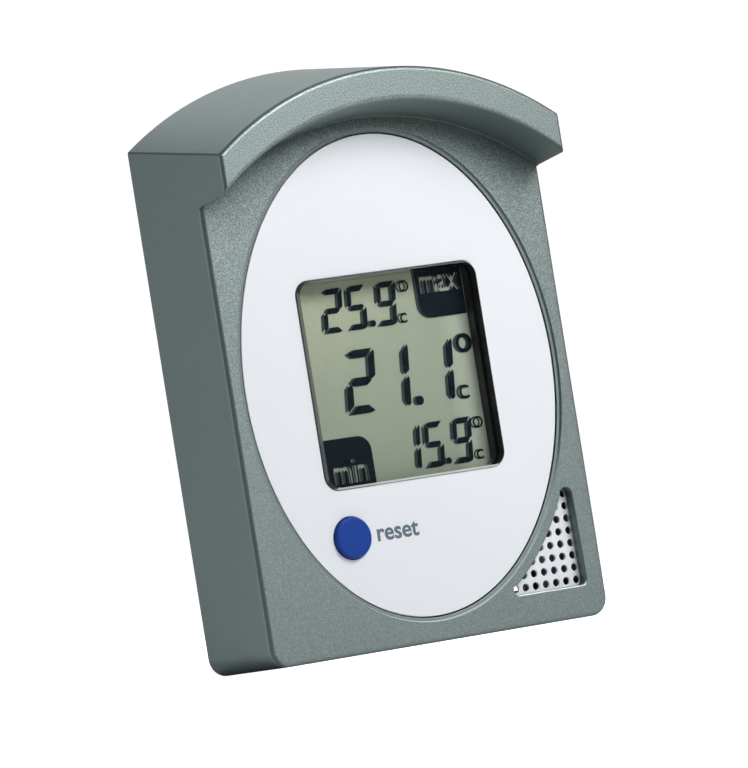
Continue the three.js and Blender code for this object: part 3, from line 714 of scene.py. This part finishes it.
def paint_lens(lens, bevel_end):
    """Gives the bevel and the hidden side walls their own materials."""
    for material in (LENS, LENS_RIM, BLACK):
        lens.data.materials.append(material)
    half = WINDOW_SIZE / 2
    for face in lens.data.polygons:
        out = Vector(face.center) - WINDOW_CENTRE
        rim = max(abs(out.x) - half.x, abs(out.z) - half.z) > -WINDOW_BEVEL - 0.05
        if abs(face.normal.y) < 0.95:
            face.material_index = 1 if rim and face.center.y < bevel_end + 0.01 else 2


def make_lens():
    """A clear pane, proud of the face, with a bevel round it that catches the light, as a painted
    highlight.
    """
    front = WINDOW_LOW.y
    bevel_end = front + 0.44
    profile = [
        (-WINDOW_BEVEL, front), (-0.06, bevel_end - 0.08), (0, bevel_end),
        (0, WINDOW_FLANGE_Y), (FLANGE_OVERHANG, WINDOW_FLANGE_Y + 0.06),
        (FLANGE_OVERHANG, WINDOW_HIGH.y),
    ]
    lens = loft("window_lens", [at_depth(window_outline(grow), y) for grow, y in profile])
    cut(lens, slab("hollow", window_outline(-0.6), WINDOW_FLANGE_Y, 4))
    paint_lens(lens, bevel_end)
    lens.visible_shadow = False
    finish_piece(lens, LENS, replaces=["display_window"], sharp=20)


def make_button():
    """A flat cap with a rounded edge, a flange behind the face and a stem to the switch."""
    edge = convex_edge(0.4, 6)
    profile = [(0, BUTTON_FRONT + 0.05), (BUTTON_RADIUS * 0.6, BUTTON_FRONT + 0.02)]
    profile += [(BUTTON_RADIUS - growth, BUTTON_FRONT + depth) for depth, growth in edge]
    flange_front, flange_back, stem_end = 3.3, 3.9, 4.4
    profile += [(BUTTON_RADIUS, flange_front), (BUTTON_FLANGE_RADIUS, flange_front)]
    profile += [(BUTTON_FLANGE_RADIUS, flange_back), (BUTTON_STEM_RADIUS, flange_back)]
    profile += [(BUTTON_STEM_RADIUS, stem_end), (0, stem_end)]
    button = turned("button_cap", BUTTON_CENTRE.x, BUTTON_CENTRE.z, profile, 96)
    finish_piece(button, BUTTON_BLUE, body="reset_button", replaces=["reset_button"])


def hole_places():
    """Rows and columns of holes, as far as the opening's curve lets them be seen."""
    across = PLATE_HALF.x + OPENING_OFFSET
    along = PLATE_HALF.z + OPENING_OFFSET
    left_limit, margin, count = 15, 0.35, 8
    places = []
    for row in range(count):
        for column in range(count):
            x = HOLE_START[0] - column * HOLE_PITCH
            z = HOLE_START[1] + row * HOLE_PITCH
            seen = math.hypot((x + margin) / across, (z - PLATE_CENTRE.z) / along) > 1
            if seen and x > left_limit:
                places.append((x, z))
    return places


def make_grille():
    grille = slab("grille_plate", sensor_outline(1.2), GRILLE_LOW.y, GRILLE_HIGH.y)
    cut(grille, slab("hollow", sensor_outline(0.5), GRILLE_LOW.y + 0.4, GRILLE_HIGH.y + 1))
    front, back, rounding = GRILLE_LOW.y, GRILLE_HIGH.y + 1, 0.1
    profile = [(0, front - 1), (HOLE_RADIUS + rounding, front - 1)]
    profile += [(HOLE_RADIUS + growth, front + depth) for depth, growth in convex_edge(rounding, 3)]
    profile += [(HOLE_RADIUS, back), (0, back)]
    for x, z in hole_places():
        cut(grille, turned("hole", x, z, profile, 32))
    finish_piece(grille, PLATE, replaces=["sensor_grille"])


# ---- Back ----------------------------------------------------------------------------------


def bar_x(y, z, radius, left, right):
    ring = arc(y, z, radius, 0, 360, 40)[:-1]
    return loft("bar", [[(x, a, b) for a, b in ring] for x in (left, right)])


def cover_block(name, front, back, rounding):
    """The case's inside between two depths, a gap smaller, with its back edge rounded."""
    inset, roof_inset = WALL + COVER_GAP, ROOF_WALL + COVER_GAP
    rings = [at_depth(case_outline(front, inset, roof_inset), front)]
    for depth, extra in reversed(convex_edge(rounding, 4)):
        outline = case_outline(back - depth, inset + extra, roof_inset + extra)
        rings.append(at_depth(outline, back - depth))
    return loft(name, rings)


def back_cutter(outline, rounding=0.2):
    """A cutter through the rear panel, which rounds the edge that it makes at the back."""
    edge = reversed(convex_edge(rounding))
    rings = [at_depth(outline(0), COVER_FRONT - 1)]
    rings += [at_depth(outline(grow), CASE_DEPTH - depth) for depth, grow in edge]
    rings.append(at_depth(outline(rounding), CASE_DEPTH + 1))
    return loft("cutter", rings)


def keyhole_outline(grow):
    """A round hole with a narrower slot above it, drawn as one outline."""
    hole, slot = KEYHOLE_RADIUS + grow, SLOT_RADIUS + grow
    join = math.degrees(math.acos(slot / hole))
    return arc(0, KEYHOLE_Z, hole, 180 - join, 360 + join, 40) + arc(0, SLOT_Z, slot, 0, 180, 20)


def contact_slot(side):
    """The slot in the bay's floor that a battery contact's tail goes through."""
    floor = BAY_Z - BAY_HALF_HEIGHT
    ends = sorted((side * (BAY_HALF_LENGTH - 1.5), side * (BAY_HALF_LENGTH + 0.001)))
    return box_solid((ends[0], 9.2, floor - BAY_WALL - 1), (ends[1], 12, floor + 0.5))


def keyhole_cup():
    """The box behind the keyhole that keeps the hanging screw's head off the battery bay."""
    cup_top = SLOT_Z + KEYHOLE_RADIUS + 0.3
    cup = box_solid((-6, 11.8, BAY_Z + BAY_HALF_HEIGHT), (6, COVER_FRONT + 0.5, cup_top + 0.9))
    combine(cup, cover_block("limit", 5, CASE_DEPTH, 0.3), "INTERSECT")
    hollow_low = (-4.6, 13, BAY_Z + BAY_HALF_HEIGHT + BAY_WALL + 0.2)
    return cup, box_solid(hollow_low, (4.6, COVER_FRONT, cup_top))


def bay_box(wall, back):
    """The battery bay's box, up to a depth: its inside, or its outside a wall larger."""
    half_length, half_height = BAY_HALF_LENGTH + wall, BAY_HALF_HEIGHT + wall
    return box_solid((-half_length, BAY_FRONT - wall, BAY_Z - half_height),
                     (half_length, back, BAY_Z + half_height))


def vent_outline(low, grow):
    return rounded_rect(25.85, low + 1, 6.7 + 2 * grow, 2 + 2 * grow, 0.9)


def doorway_outline(grow):
    width = 2 * (DOOR_HALF_WIDTH + DOOR_GAP + grow)
    height = DOOR_TOP - DOOR_BOTTOM + 2 * (DOOR_GAP + grow)
    return rounded_rect(0, (DOOR_BOTTOM + DOOR_TOP) / 2, width, height, 0.6)


def make_rear_panel():
    """The rear cover, with its bay, doorway, hinge holes, keyhole, screw holes and vents."""
    panel = cover_block("rear_panel", COVER_FRONT, CASE_DEPTH, 0.3)
    cup, cup_hollow = keyhole_cup()
    add(panel, bay_box(BAY_WALL, COVER_FRONT + 0.5), cup)
    hinge_end = DOOR_HALF_WIDTH + DOOR_GAP + PIN_REACH
    cut(
        panel,
        bay_box(0, COVER_FRONT),
        back_cutter(doorway_outline),
        bar_x(HINGE_Y, HINGE_Z, 0.75, -hinge_end, hinge_end),
        cup_hollow,
        back_cutter(keyhole_outline, 0.3),
        contact_slot(-1),
        contact_slot(1),
    )
    beyond = CASE_DEPTH + 1
    for x, z in BOSSES:
        cut(panel, bar_y(x, z, 1.5, COVER_FRONT - 1, beyond),
            bar_y(x, z, 2.7, CASE_DEPTH - 1.3, beyond, 64))
    for low in VENT_HEIGHTS:
        cut(panel, back_cutter(lambda grow: vent_outline(low, grow)))
    finish_piece(panel, REAR_HOUSING, replaces=["rear_cover"])


def make_door_panel():
    """The battery door, which hangs on two pins, with a thumb notch and grip grooves."""
    radius = (DOOR_BACK - DOOR_FRONT) / 2
    panel = box_solid((-DOOR_HALF_WIDTH, DOOR_FRONT, HINGE_Z), (DOOR_HALF_WIDTH, DOOR_BACK, DOOR_TOP))
    panel.name = "door_panel"
    bevel(panel, 0.2)
    add(panel, bar_x(DOOR_FRONT + radius, HINGE_Z, radius, -DOOR_HALF_WIDTH, DOOR_HALF_WIDTH))
    pin_end = DOOR_HALF_WIDTH + PIN_REACH
    add(panel, bar_x(HINGE_Y, HINGE_Z, 0.5, -pin_end, pin_end))
    notch = arc(0, DOOR_TOP + 7.6, 10.4, 180, 360, 48)
    cut(panel, slab("notch", notch, DOOR_BACK - 0.6, DOOR_BACK + 1))
    for i in range(5):
        low = 68.4 + 0.9 * i
        groove = rounded_rect(0, low, 9.0, 0.4, 0.19, 4)
        cut(panel, slab("groove", groove, DOOR_BACK - 0.25, DOOR_BACK + 1))
    finish_piece(panel, REAR_HOUSING, body="battery_door",
                 replaces=["battery_door"])


def screw_profile(tip, head_front, head_back, head_radius, shank_radius):
    """A screw's half section: a point, a thread, a neck and a domed head."""
    profile = [(0, tip), (shank_radius * 0.3, tip), (shank_radius, tip + 1.2)]
    pitch, thread_depth = 0.5, 0.16
    for i in range(int((head_front - tip - 1.6) / pitch)):
        y = tip + 1.3 + pitch * i
        profile += [(shank_radius, y), (shank_radius - thread_depth, y + 0.22)]
    rim = 0.25
    profile += [(shank_radius, head_front - rim), (shank_radius, head_front)]
    profile.append((head_radius, head_front))
    crown = head_back - head_front - rim
    for i in range(7):
        angle = 0.5 * math.pi * i / 6
        radius = head_radius - 0.9 * (1 - math.cos(angle))
        profile.append((radius, head_back - crown * (1 - math.sin(angle))))
    return [*profile, (0, head_back)]


def make_screw(name, node, head_radius, head_height, shank_radius):
    """A pan-head screw with a cross recess, from the box of the CAD node that it replaces."""
    low, high = case_box(node)
    x, z = middle(node).x, middle(node).z
    head_back = high.y
    profile = screw_profile(low.y, head_back - head_height, head_back, head_radius, shank_radius)
    screw = turned(name, x, z, profile, 40)
    arm, half, recess = head_radius * 0.5, 0.24, 0.65
    for across, along in ((arm, half), (half, arm)):
        cut(screw, box_solid((x - across, head_back - recess, z - along),
                             (x + across, head_back + 1, z + along)))
    finish_piece(screw, STEEL, replaces=[node])


def make_screws():
    for number in range(1, 5):
        make_screw(f"back_screw_{number}", f"case_screw_{number}", 2.4, 1.1, 1.05)
        make_screw(f"circuit_screw_{number}", f"board_screw_{number}", 1.8, 1.2, 0.85)


# ---- Display and lettering -----------------------------------------------------------------

SLANT = 0.11  # a digit leans to the right by this much of its height

# A digit's segments, upright, from its lower left corner, for a digit 5.55 wide and 10.2 high
SEGMENTS = {
    "a": [(0.45, 9.6), (1.9, 10.2), (5.1, 10.2), (3.8, 8.85), (1.45, 8.85)],
    "b": [(5.37, 9.95), (5.55, 9.5), (5.55, 5.85), (4.75, 5.25), (4.36, 5.9), (4.36, 8.75)],
    "c": [(5.3, 4.95), (5.55, 4.4), (5.55, 0.6), (5.1, 0.2), (4.36, 1.05), (4.36, 3.95)],
    "d": [(0.45, 0.0), (1.8, 1.33), (3.9, 1.33), (5.15, 0.3), (4.2, 0.0)],
    "e": [(0.0, 4.15), (0.7, 4.75), (1.16, 4.2), (1.16, 1.5), (0.1, 0.45), (0.0, 0.8)],
    "f": [(0.25, 9.5), (0.0, 9.2), (0.0, 5.9), (0.3, 5.3), (1.16, 6.0), (1.16, 8.75)],
    "g": [(0.8, 5.0), (1.65, 5.78), (4.4, 5.78), (4.75, 5.1), (3.85, 4.42), (1.5, 4.42)],
}
LIT = {"1": "bc", "2": "abged", "5": "afgcd", "9": "abcdfg"}

# The display's lines: the height of the base, the [width, height] scale and each digit's left
LINES = [
    (50.9, (0.65, 0.69), (("2", -10.55), ("5", -5.95), ("9", -0.25))),
    (37.6, (1.0, 1.0), (("2", -8.55), ("1", -2.0), ("1", 6.55))),
    (27.5, (0.65, 0.71), (("1", 0.05), ("5", 4.55), ("9", 10.05))),
]

# Points, degree rings and C signs, each from its centre and its radius or two radii
POINTS = [(-1.2, 51.59, 0.52), (5.3, 38.4, 0.76), (9.0, 28.21, 0.52)]
DEGREES = [(5.6, 56.84, 0.95, 0.66), (15.4, 46.52, 1.55, 0.95), (15.65, 33.66, 0.95, 0.66)]
CELSIUS = [(4.85, 51.79, 0.8), (14.2, 38.74, 1.15), (15.3, 28.51, 0.8)]

# The figures are drawn twice, as a dark image and a painted shadow of it: front and back depths
# of each, and how far the shadow lies to the side
FRONT_IMAGE = (4.03, 4.06)
REAR_IMAGE = (4.09, 4.13)
SHADOW_SHIFT = -0.56


def digit_outlines(digit, left, base, scale):
    outlines = []
    for segment in LIT[digit]:
        points = [(x * scale[0], z * scale[1]) for x, z in SEGMENTS[segment]]
        outlines.append([(left + x + SLANT * z, base + z) for x, z in points])
    return outlines


def add_prism(bm, outline, front, back):
    near = [bm.verts.new((x, front, z)) for x, z in outline]
    far = [bm.verts.new((x, back, z)) for x, z in outline]
    bm.faces.new(near)
    bm.faces.new(far[::-1])
    for i in range(len(outline)):
        j = (i + 1) % len(outline)
        bm.faces.new((near[i], far[i], far[j], near[j]))


def add_ring(bm, outer, inner, front, back):
    loops = [(outer, front), (outer, back), (inner, back), (inner, front)]
    rows = [[bm.verts.new((x, y, z)) for x, z in loop] for loop, y in loops]
    count = len(outer)
    for near, far in zip(rows, rows[1:] + rows[:1]):
        for i in range(count):
            j = (i + 1) % count
            bm.faces.new((near[i], far[i], far[j], near[j]))


def letter_c(x, z, radius):
    """A thin letter C."""
    thick = 0.36 * radius
    return arc(x, z, radius, 42, 318, 20) + arc(x, z, radius - thick, 318, 42, 20)


def make_segments(name, shift, depths, material):
    bm = bmesh.new()
    for base, scale, digits in LINES:
        for digit, left in digits:
            for outline in digit_outlines(digit, left + shift, base, scale):
                add_prism(bm, outline, *depths)
    for x, z, radius in POINTS:
        add_prism(bm, arc(x + shift, z, radius, 0, 360, 24)[:-1], *depths)
    for x, z, outer, inner in DEGREES:
        rings = [arc(x + shift, z, radius, 0, 360, 32)[:-1] for radius in (outer, inner)]
        add_ring(bm, *rings, *depths)
    for x, z, radius in CELSIUS:
        add_prism(bm, letter_c(x + shift, z, radius), *depths)
    finish_piece(mesh_object(name, bm), material)


def lettering(name, text, place, depths, bold):
    """A word as closed flat letters, with place as left, base, letter size and squeeze."""
    left, base, em, squeeze = place
    curve = bpy.data.curves.new(name, "FONT")
    curve.body = text
    curve.size = em
    curve.offset = bold
    curve.extrude = (depths[1] - depths[0]) / 2
    curve.resolution_u = 6
    words = bpy.data.objects.new(name, curve)
    bpy.context.scene.collection.objects.link(words)
    graph = bpy.context.evaluated_depsgraph_get()
    mesh = bpy.data.meshes.new_from_object(words.evaluated_get(graph))
    bpy.data.objects.remove(words)
    bm = bmesh.new()
    bm.from_mesh(mesh)
    bmesh.ops.remove_doubles(bm, verts=bm.verts, dist=1e-4)
    start = min(vert.co.x for vert in bm.verts)
    middle_y = sum(depths) / 2
    for vert in bm.verts:
        x, z, y = vert.co
        vert.co = (left + (x - start) * squeeze, middle_y - y, base + z)
    return mesh_object(name, bm)


# The dark blocks that carry "max" and "min" fill opposite corners of the display. Each has one
# rounded corner, given by the block's own edges and a radius.
DISPLAY_RIGHT, DISPLAY_TOP, DISPLAY_BOTTOM = 16.9, 59.4, 26.2
MAX_LEFT, MAX_BOTTOM, MAX_CORNER = 8.06, 51.2, 2.3
MIN_RIGHT, MIN_TOP, MIN_CORNER = -5.34, 34.25, 2.5

# Words, as left, base, letter size and squeeze
MAX_WORD = (8.75, 55.25, 5.7, 0.80)
MIN_WORD = (-13.1, 27.05, 5.8, 0.80)
RESET_WORD = (-9.2, 17.3, 3.9, 1.0)
WORD_BOLD, WORD_WIDENING, RESET_BOLD = 0.06, 0.22, 0.085


def max_outline(shift):
    left = MAX_LEFT + shift
    corner = arc(left + MAX_CORNER, MAX_BOTTOM + MAX_CORNER, MAX_CORNER, 180, 270, 14)
    ends = [(DISPLAY_RIGHT, MAX_BOTTOM), (DISPLAY_RIGHT, DISPLAY_TOP), (left, DISPLAY_TOP)]
    return [*ends, *corner]


def min_outline(shift):
    right = MIN_RIGHT + shift
    corner = arc(right - MIN_CORNER, MIN_TOP - MIN_CORNER, MIN_CORNER, 0, 90, 14)
    ends = [(-DISPLAY_RIGHT, MIN_TOP), (-DISPLAY_RIGHT, DISPLAY_BOTTOM), (right, DISPLAY_BOTTOM)]
    return [*ends, *corner]


def make_block(name, outline, word, place, shift, depths, material):
    """A dark block with a word cut out of it, twice and a little apart to make it bolder."""
    block = slab(name, outline, *depths)
    left, *rest = place
    through = (depths[0] - 0.5, depths[1] + 0.5)
    for wider in (0, WORD_WIDENING):
        cut(block, lettering("letters", word, (left + shift + wider, *rest), through, WORD_BOLD))
    finish_piece(block, material)


def make_image(side, shift, depths, material):
    look = (shift, depths, material)
    make_segments(f"segments_{side}", *look)
    make_block(f"max_block_{side}", max_outline(shift), "max", MAX_WORD, *look)
    make_block(f"min_block_{side}", min_outline(shift), "min", MIN_WORD, *look)


def make_display():
    # The rear image is a painted shadow: a dark copy of the figures, shifted to the side
    make_image("rear", SHADOW_SHIFT, REAR_IMAGE, SEGMENT_SHADOW)
    make_image("front", 0, FRONT_IMAGE, SEGMENT)


def make_reset_label():
    depths = (PLATE_DEPTH - 0.03, PLATE_DEPTH)
    label = lettering("reset_label", "reset", RESET_WORD, depths, RESET_BOLD)
    finish_piece(label, LABEL_GREY)


make_front_shell()
make_face_panel()
make_lens()
make_button()
make_grille()
make_rear_panel()
make_door_panel()
make_screws()
make_display()
make_reset_label()


# ---- CAD nodes that stay -------------------------------------------------------------------

KEPT = {
    "lcd_frame": BLACK,
    "lcd_front_polariser": DISPLAY, "lcd_front_glass": GLASS, "lcd_rear_glass": GLASS,
    "lcd_reflector": DISPLAY, "lcd_foam_pad": FOAM, "zebra_strip_upper": RUBBER,
    "zebra_strip_lower": RUBBER, "main_board": BOARD, "controller_blob": EPOXY,
    "crystal_can": STEEL, "capacitor_1": CERAMIC, "capacitor_2": CERAMIC,
    "resistor_1": EPOXY, "resistor_2": EPOXY, "resistor_3": EPOXY, "switch_base": BLACK,
    "switch_cover": STEEL, "switch_plunger": BLACK, "thermistor_bead": EPOXY,
    "thermistor_lead_1": STEEL, "thermistor_lead_2": STEEL, "battery_cell": STEEL,
    "battery_sleeve": SLEEVE, "battery_spring": STEEL, "spring_plate": BRASS,
    "leaf_contact": BRASS, "wire_black": BLACK_WIRE, "wire_red": RED_WIRE,
}


def dress_kept_nodes():
    for name, material in KEPT.items():
        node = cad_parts[name]
        node.data.materials.clear()
        node.data.materials.append(material)


dress_kept_nodes()


# ---- Stage, camera and light ---------------------------------------------------------------

LIGHT_AIM = (0, 0, 45)
VIEW_TARGET = (-5.6, 0.0, 41.905)
VIEW_AZIMUTH = -33.636
VIEW_ELEVATION = -1.372
VIEW_ROLL = 9.127
VIEW_DISTANCE = 1119.7
LENS_MM = 331.97


def direction(azimuth, elevation):
    """A unit vector from the object, with azimuth 0 to the front and 90 to the right."""
    a, e = math.radians(azimuth), math.radians(elevation)
    return Vector((math.sin(a) * math.cos(e), -math.cos(a) * math.cos(e), math.sin(e)))


def to_row(point):
    return Vector(point) * MM + Vector((0, FACE_Y, 0))


def make_camera():
    back = direction(VIEW_AZIMUTH, VIEW_ELEVATION)
    right = Vector((0, 0, 1)).cross(back).normalized()
    up = back.cross(right)
    roll = math.radians(VIEW_ROLL)
    tilted_right = math.cos(roll) * right - math.sin(roll) * up
    tilted_up = math.cos(roll) * up + math.sin(roll) * right
    data = bpy.data.cameras.new("camera")
    data.lens = LENS_MM
    data.clip_start, data.clip_end = 0.01, 20
    camera = bpy.data.objects.new("camera", data)
    place = to_row(VIEW_TARGET) + back * VIEW_DISTANCE * MM
    camera.matrix_world = Matrix((
        (tilted_right.x, tilted_up.x, back.x, place.x),
        (tilted_right.y, tilted_up.y, back.y, place.y),
        (tilted_right.z, tilted_up.z, back.z, place.z),
        (0, 0, 0, 1),
    ))
    bpy.context.scene.collection.objects.link(camera)
    bpy.context.scene.camera = camera


def area_light(name, azimuth, elevation, distance, size, power, colour=(1, 1, 1)):
    data = bpy.data.lights.new(name, "AREA")
    data.shape = "SQUARE"
    data.size = size
    data.energy = power
    data.color = colour
    light = bpy.data.objects.new(name, data)
    towards = direction(azimuth, elevation)
    light.location = to_row(LIGHT_AIM) + towards * distance
    light.rotation_mode = "QUATERNION"
    light.rotation_quaternion = towards.to_track_quat("Z", "Y")
    bpy.context.scene.collection.objects.link(light)


def make_lights():
    """Softboxes round the object: where from, how far in metres, how wide, and how strong."""
    wide, small = 0.4, 0.16
    area_light("key_softbox", 30, 40, 0.8, wide, 3.15, (1, 0.985, 0.965))
    area_light("right_softbox", 50, 25, 0.8, wide, 0.1)
    area_light("near_left_softbox", 17, 36, 0.35, small, 0.5)
    area_light("near_right_softbox", 35, 35, 0.35, small, 0.07)
    area_light("near_softbox", 28, 30, 0.25, small, 0.045)
    area_light("left_softbox", -100, 5, 0.8, wide, 0.92, (0.94, 1, 1.09))
    area_light("left_upper_softbox", -90, 45, 0.8, wide, 0.3, (0.95, 1, 1.06))
    area_light("front_left_softbox", -33, 20, 0.8, wide, 0.5, (0.95, 1, 1.06))
    area_light("rear_left_softbox", -130, 5, 0.8, wide, 0.45)
    area_light("rear_right_softbox", 150, 25, 0.8, wide, 0.55)
    area_light("rear_upper_softbox", 150, 45, 0.8, wide, 0.2)
    area_light("top_softbox", 180, 65, 0.8, wide, 0.9)


def make_floor():
    """A white table top that fades into the white behind it, for the camera's eyes only."""
    bm = bmesh.new()
    bmesh.ops.create_grid(bm, x_segments=1, y_segments=1, size=3.0)
    floor = mesh_object("floor", bm)
    nodes = Nodes("floor_white")
    nodes.set(Base_Color=(0.85, 0.85, 0.86, 1), Roughness=0.8, Emission_Color=(1, 1, 1, 1))
    distance = nodes.tree.nodes.new("ShaderNodeVectorMath")
    distance.operation = "LENGTH"
    nodes.link(nodes.place.outputs["Object"], distance.inputs[0])
    glow = nodes.spread(distance.outputs["Value"], 0.85, 1.1, 0.045, 0.12)
    seen = nodes.tree.nodes.new("ShaderNodeLightPath").outputs["Is Camera Ray"]
    nodes.link(nodes.times(glow, seen), nodes.shader.inputs["Emission Strength"])
    nodes.bump(nodes.noise(0.8), 0.005)
    floor.data.materials.append(nodes.material)


def make_world():
    """White behind the object, and softer grey light on it."""
    world = bpy.data.worlds.new("studio")
    world.use_nodes = True
    tree = world.node_tree
    tree.nodes.clear()
    path = tree.nodes.new("ShaderNodeLightPath")
    mix = tree.nodes.new("ShaderNodeMixShader")
    tree.links.new(path.outputs["Is Camera Ray"], mix.inputs["Fac"])
    lit_by, seen = ((0.95, 0.98, 1, 1), 0.02), ((1, 1, 1, 1), 1.05)
    for socket, (colour, strength) in zip(list(mix.inputs)[1:], (lit_by, seen)):
        background = tree.nodes.new("ShaderNodeBackground")
        background.inputs["Color"].default_value = colour
        background.inputs["Strength"].default_value = strength
        tree.links.new(background.outputs["Background"], socket)
    out = tree.nodes.new("ShaderNodeOutputWorld")
    tree.links.new(mix.outputs["Shader"], out.inputs["Surface"])
    bpy.context.scene.world = world


make_camera()
make_lights()
make_floor()
make_world()
bpy.context.scene.view_settings.view_transform = "Standard"
